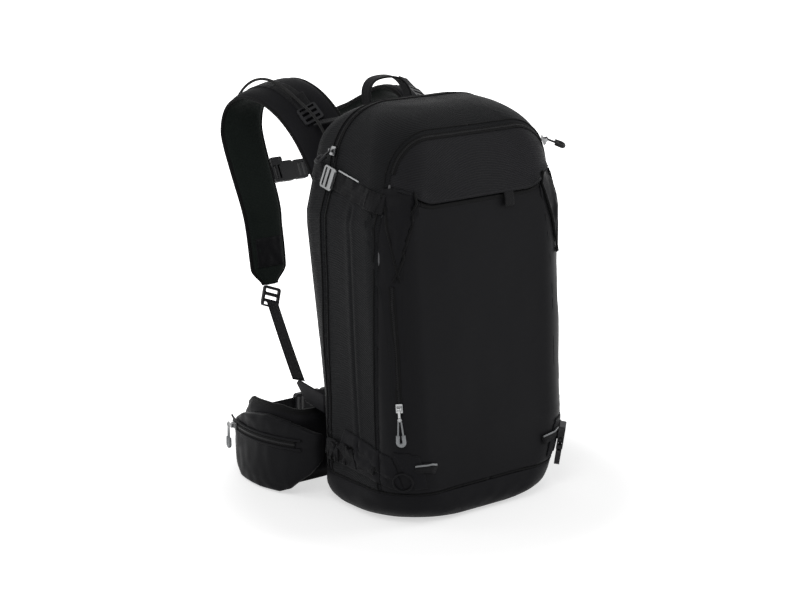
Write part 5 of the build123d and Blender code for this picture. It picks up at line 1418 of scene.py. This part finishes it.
# %% Belt webbing and its buckle's straps
def belt_web(name, x0, x1, replaces):
    count = 30
    path = np.column_stack([np.linspace(x0, x1, count), np.full(count, BELT_Y), np.full(count, BELT_Z)]) * MM
    return loft(name, path, np.tile((0, 0, 1), (count, 1)), web_section(WEB_W * MM, WEB_T * MM), "webbing",
                PACK, replaces=replaces)


belt_web("belt_web_left", -103.1, -40.0, ("hip_webbing_left",))
belt_right = belt_web("belt_web_right", 103.1, 27.0, ("hip_webbing_right",))
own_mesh(belt_right)
print("belt webbing laid")

# %% [markdown]
# ## Back panel
# The back pad is moulded foam under a coarse mesh. Blocks of foam stand proud, and a deep channel
# between them lets air rise behind the wearer. The lumbar pad below is softer and fuller.

# %% Moulded pads
PAD_STEPS, PAD_CORNER, PAD_EDGE = 120, 24.0, 9


def moulded_pad(name, half_w, z0, z1, thick, valleys_x, valleys_z, node):
    """A pad on the bag's back. A valley is (place, half width, depth), across or up the pad."""
    y0 = BACK_Y + 0.3
    nx = nz = PAD_STEPS
    xs, zs = np.linspace(-half_w, half_w, nx), np.linspace(z0, z1, nz)
    verts, uvs, faces = [], [], []
    for z in zs:
        dz = min(z - z0, z1 - z)
        for x in xs:
            squeeze = 1.0
            if dz < PAD_CORNER:
                squeeze = (half_w - PAD_CORNER + arc_reach(PAD_CORNER, PAD_CORNER - dz)) / half_w
            px = x * squeeze
            edge = min((half_w - abs(x)), dz)
            h = 0.25 + 0.75 * ramp(edge, 0, PAD_EDGE)
            groove = max([math.exp(-((px - v) / w) ** 4) * d for v, w, d in valleys_x]
                         + [math.exp(-((z - v) / w) ** 4) * d for v, w, d in valleys_z] + [0])
            h *= 1 - groove
            h += 0.05 * noise.noise(Vector((px, z, 3.0)) / 17.0) * h
            verts.append((px, y0 + thick * max(h, 0.1), z))
            uvs.append((px * MM, z * MM))
    for r in range(nz - 1):
        faces += [(r * nx + c, (r + 1) * nx + c, (r + 1) * nx + c + 1, r * nx + c + 1) for c in range(nx - 1)]
    rim = (list(range(nx)) + [r * nx + nx - 1 for r in range(1, nz)]
           + [(nz - 1) * nx + c for c in range(nx - 2, -1, -1)] + [r * nx for r in range(nz - 2, 0, -1)])
    base = len(verts)
    for i in rim:
        verts.append((verts[i][0], y0, verts[i][2]))
        uvs.append(uvs[i])
    n = len(rim)
    faces += [(rim[k], rim[(k + 1) % n], base + (k + 1) % n, base + k) for k in range(n)]
    faces.append(tuple(base + k for k in range(n))[::-1])
    piece = new_piece(name, np.array(verts) * MM, faces, "back_mesh", PACK, uvs,
                      replaces=(node,))


moulded_pad("back_foam", 112, 122, 392, 11.0, [(0, 13, 0.8)], [(z, 4.5, 0.55) for z in (190, 258, 326)],
            "back_pad")
moulded_pad("lumbar_foam", LUMBAR_HALF_W, 16, 116, 15.0, [(0, 9, 0.5), (-58, 4, 0.3), (58, 4, 0.3)], [],
            "lumbar_pad")
print("back pads moulded")

# %% [markdown]
# ## Sternum strap
# The chest strap's two webbings are stitched to small clips that slide on the shoulder straps.
# When the buckle opens, the right webbing folds up towards its clip, so it gets a mesh of its own.

# %% Chest webbing and clips
CHEST_FACE = (CHEST_TOP + CHEST_LOW) / 2 + CHEST_OUT * (STRAP_T / 2 + 0.3)
CLIP_X, CLIP_HALF_W, CLIP_T, CLIP_GAP = 62.0, 10.0, 4.0, 0.6
WEB_LIFT = CLIP_T + 0.3 + WEB_T / 2


def chest_piece(name, x0, x1, lift, width, thick, look, replaces=()):
    count = 26
    at = CHEST_FACE + CHEST_OUT * lift
    path = np.column_stack([np.linspace(x0, x1, count), np.full(count, at[1]), np.full(count, at[2])]) * MM
    return loft(name, path, np.tile(-CHEST_DOWN, (count, 1)), web_section(width * MM, thick * MM), look,
                "sternum", replaces=replaces)


chest_piece("chest_web_left", -71, -32, WEB_LIFT, NARROW_W, WEB_T, "webbing",
            ("sternum_strap_left",))
chest_right = chest_piece("chest_web_right", 71, 22.9, WEB_LIFT, NARROW_W, WEB_T, "webbing",
                          ("sternum_strap_right",))
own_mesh(chest_right)
for side, way in ((-1, "left"), (1, "right")):
    chest_piece(f"chest_clip_{way}", side * (CLIP_X - CLIP_HALF_W), side * (CLIP_X + CLIP_HALF_W),
                CLIP_T / 2 + CLIP_GAP, NARROW_W + 6, CLIP_T - CLIP_GAP,
                "buckle_plastic")
print("chest strap made")

# %% [markdown]
# ## Finishes for the hard parts
# Buckles, hooks, sliders and the parts of the airbag system keep their CAD meshes. A zip pull is
# one solid in the CAD, so its faces are sorted by place: the tab next to the slider, the loop of
# cord and the moulded grip at the far end. On the side and belt zips the tab is metal; on the main
# and lid zips the tab and grip are black plastic.

# %% Hard parts
HARD = {
    "buckle_plastic": ("strap_ladder_locks", "load_lifter_buckles", "hip_buckle_female", "hip_buckle_male",
                       "lower_strap_buckle", "sternum_buckle_female", "sternum_buckle_male", "trigger_dock"),
    "hook_metal": ("upper_hook_left", "upper_hook_right"),
    "slider_chrome": ("side_zip_slider", "main_zip_slider", "lid_zip_slider", "belt_zip_slider"),
    "handle_red": ("trigger_handle", "power_switch"),
    "inner_plastic": ("blower_housing", "blower_cover", "control_box", "air_duct"),
    "pale_plastic": ("frame_sheet", "blower_impeller"),
    "bare_metal": ("frame_stays", "blower_motor", "release_lever"),
    "airbag_cloth": ("airbag_bladder",),
    "lining": ("pocket_divider",),
    "cell_wrap": ("capacitor_pack",),
    "webbing": ("ice_axe_loop",),
}
for look, nodes in HARD.items():
    for node in nodes:
        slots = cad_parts[node].material_slots
        if slots:
            for s in slots:
                s.material = LOOKS[look]
        else:
            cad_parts[node].data.materials.append(LOOKS[look])

TAB_END, SHORT_GRIP, LONG_GRIP = 17.0, 14.0, 12.5
BRIGHT_PULL = ("slider_chrome", "grey_cord", "grip_rubber")
DARK_PULL = ("buckle_plastic", "cable_jacket", "buckle_plastic")
for zip_name in ("side", "main", "lid", "belt"):
    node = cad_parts[f"{zip_name}_zip_pull"]
    mesh = node.data
    mesh.materials.clear()
    bright = zip_name in ("side", "belt")
    for look in BRIGHT_PULL if bright else DARK_PULL:
        mesh.materials.append(LOOKS[look])
    body = np.array([v.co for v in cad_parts[f"{zip_name}_zip_slider"].data.vertices]).mean(0)
    points = np.array([v.co for v in mesh.vertices])
    far = points[np.argmax(np.linalg.norm(points - body, axis=1))]
    centres = np.array([f.center for f in mesh.polygons])
    from_slider = np.linalg.norm(centres - body, axis=1) / MM
    from_end = np.linalg.norm(centres - far, axis=1) / MM
    reach = SHORT_GRIP if zip_name in ("main", "lid") else LONG_GRIP
    kinds = np.where(from_end < reach, 2, np.where(from_slider < TAB_END, 0, 1))
    mesh.polygons.foreach_set("material_index", kinds.astype(int))
    print(node.name, "faces by finish", [int((kinds == k).sum()) for k in range(3)])

# %% Sizes and finish
low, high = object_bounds()
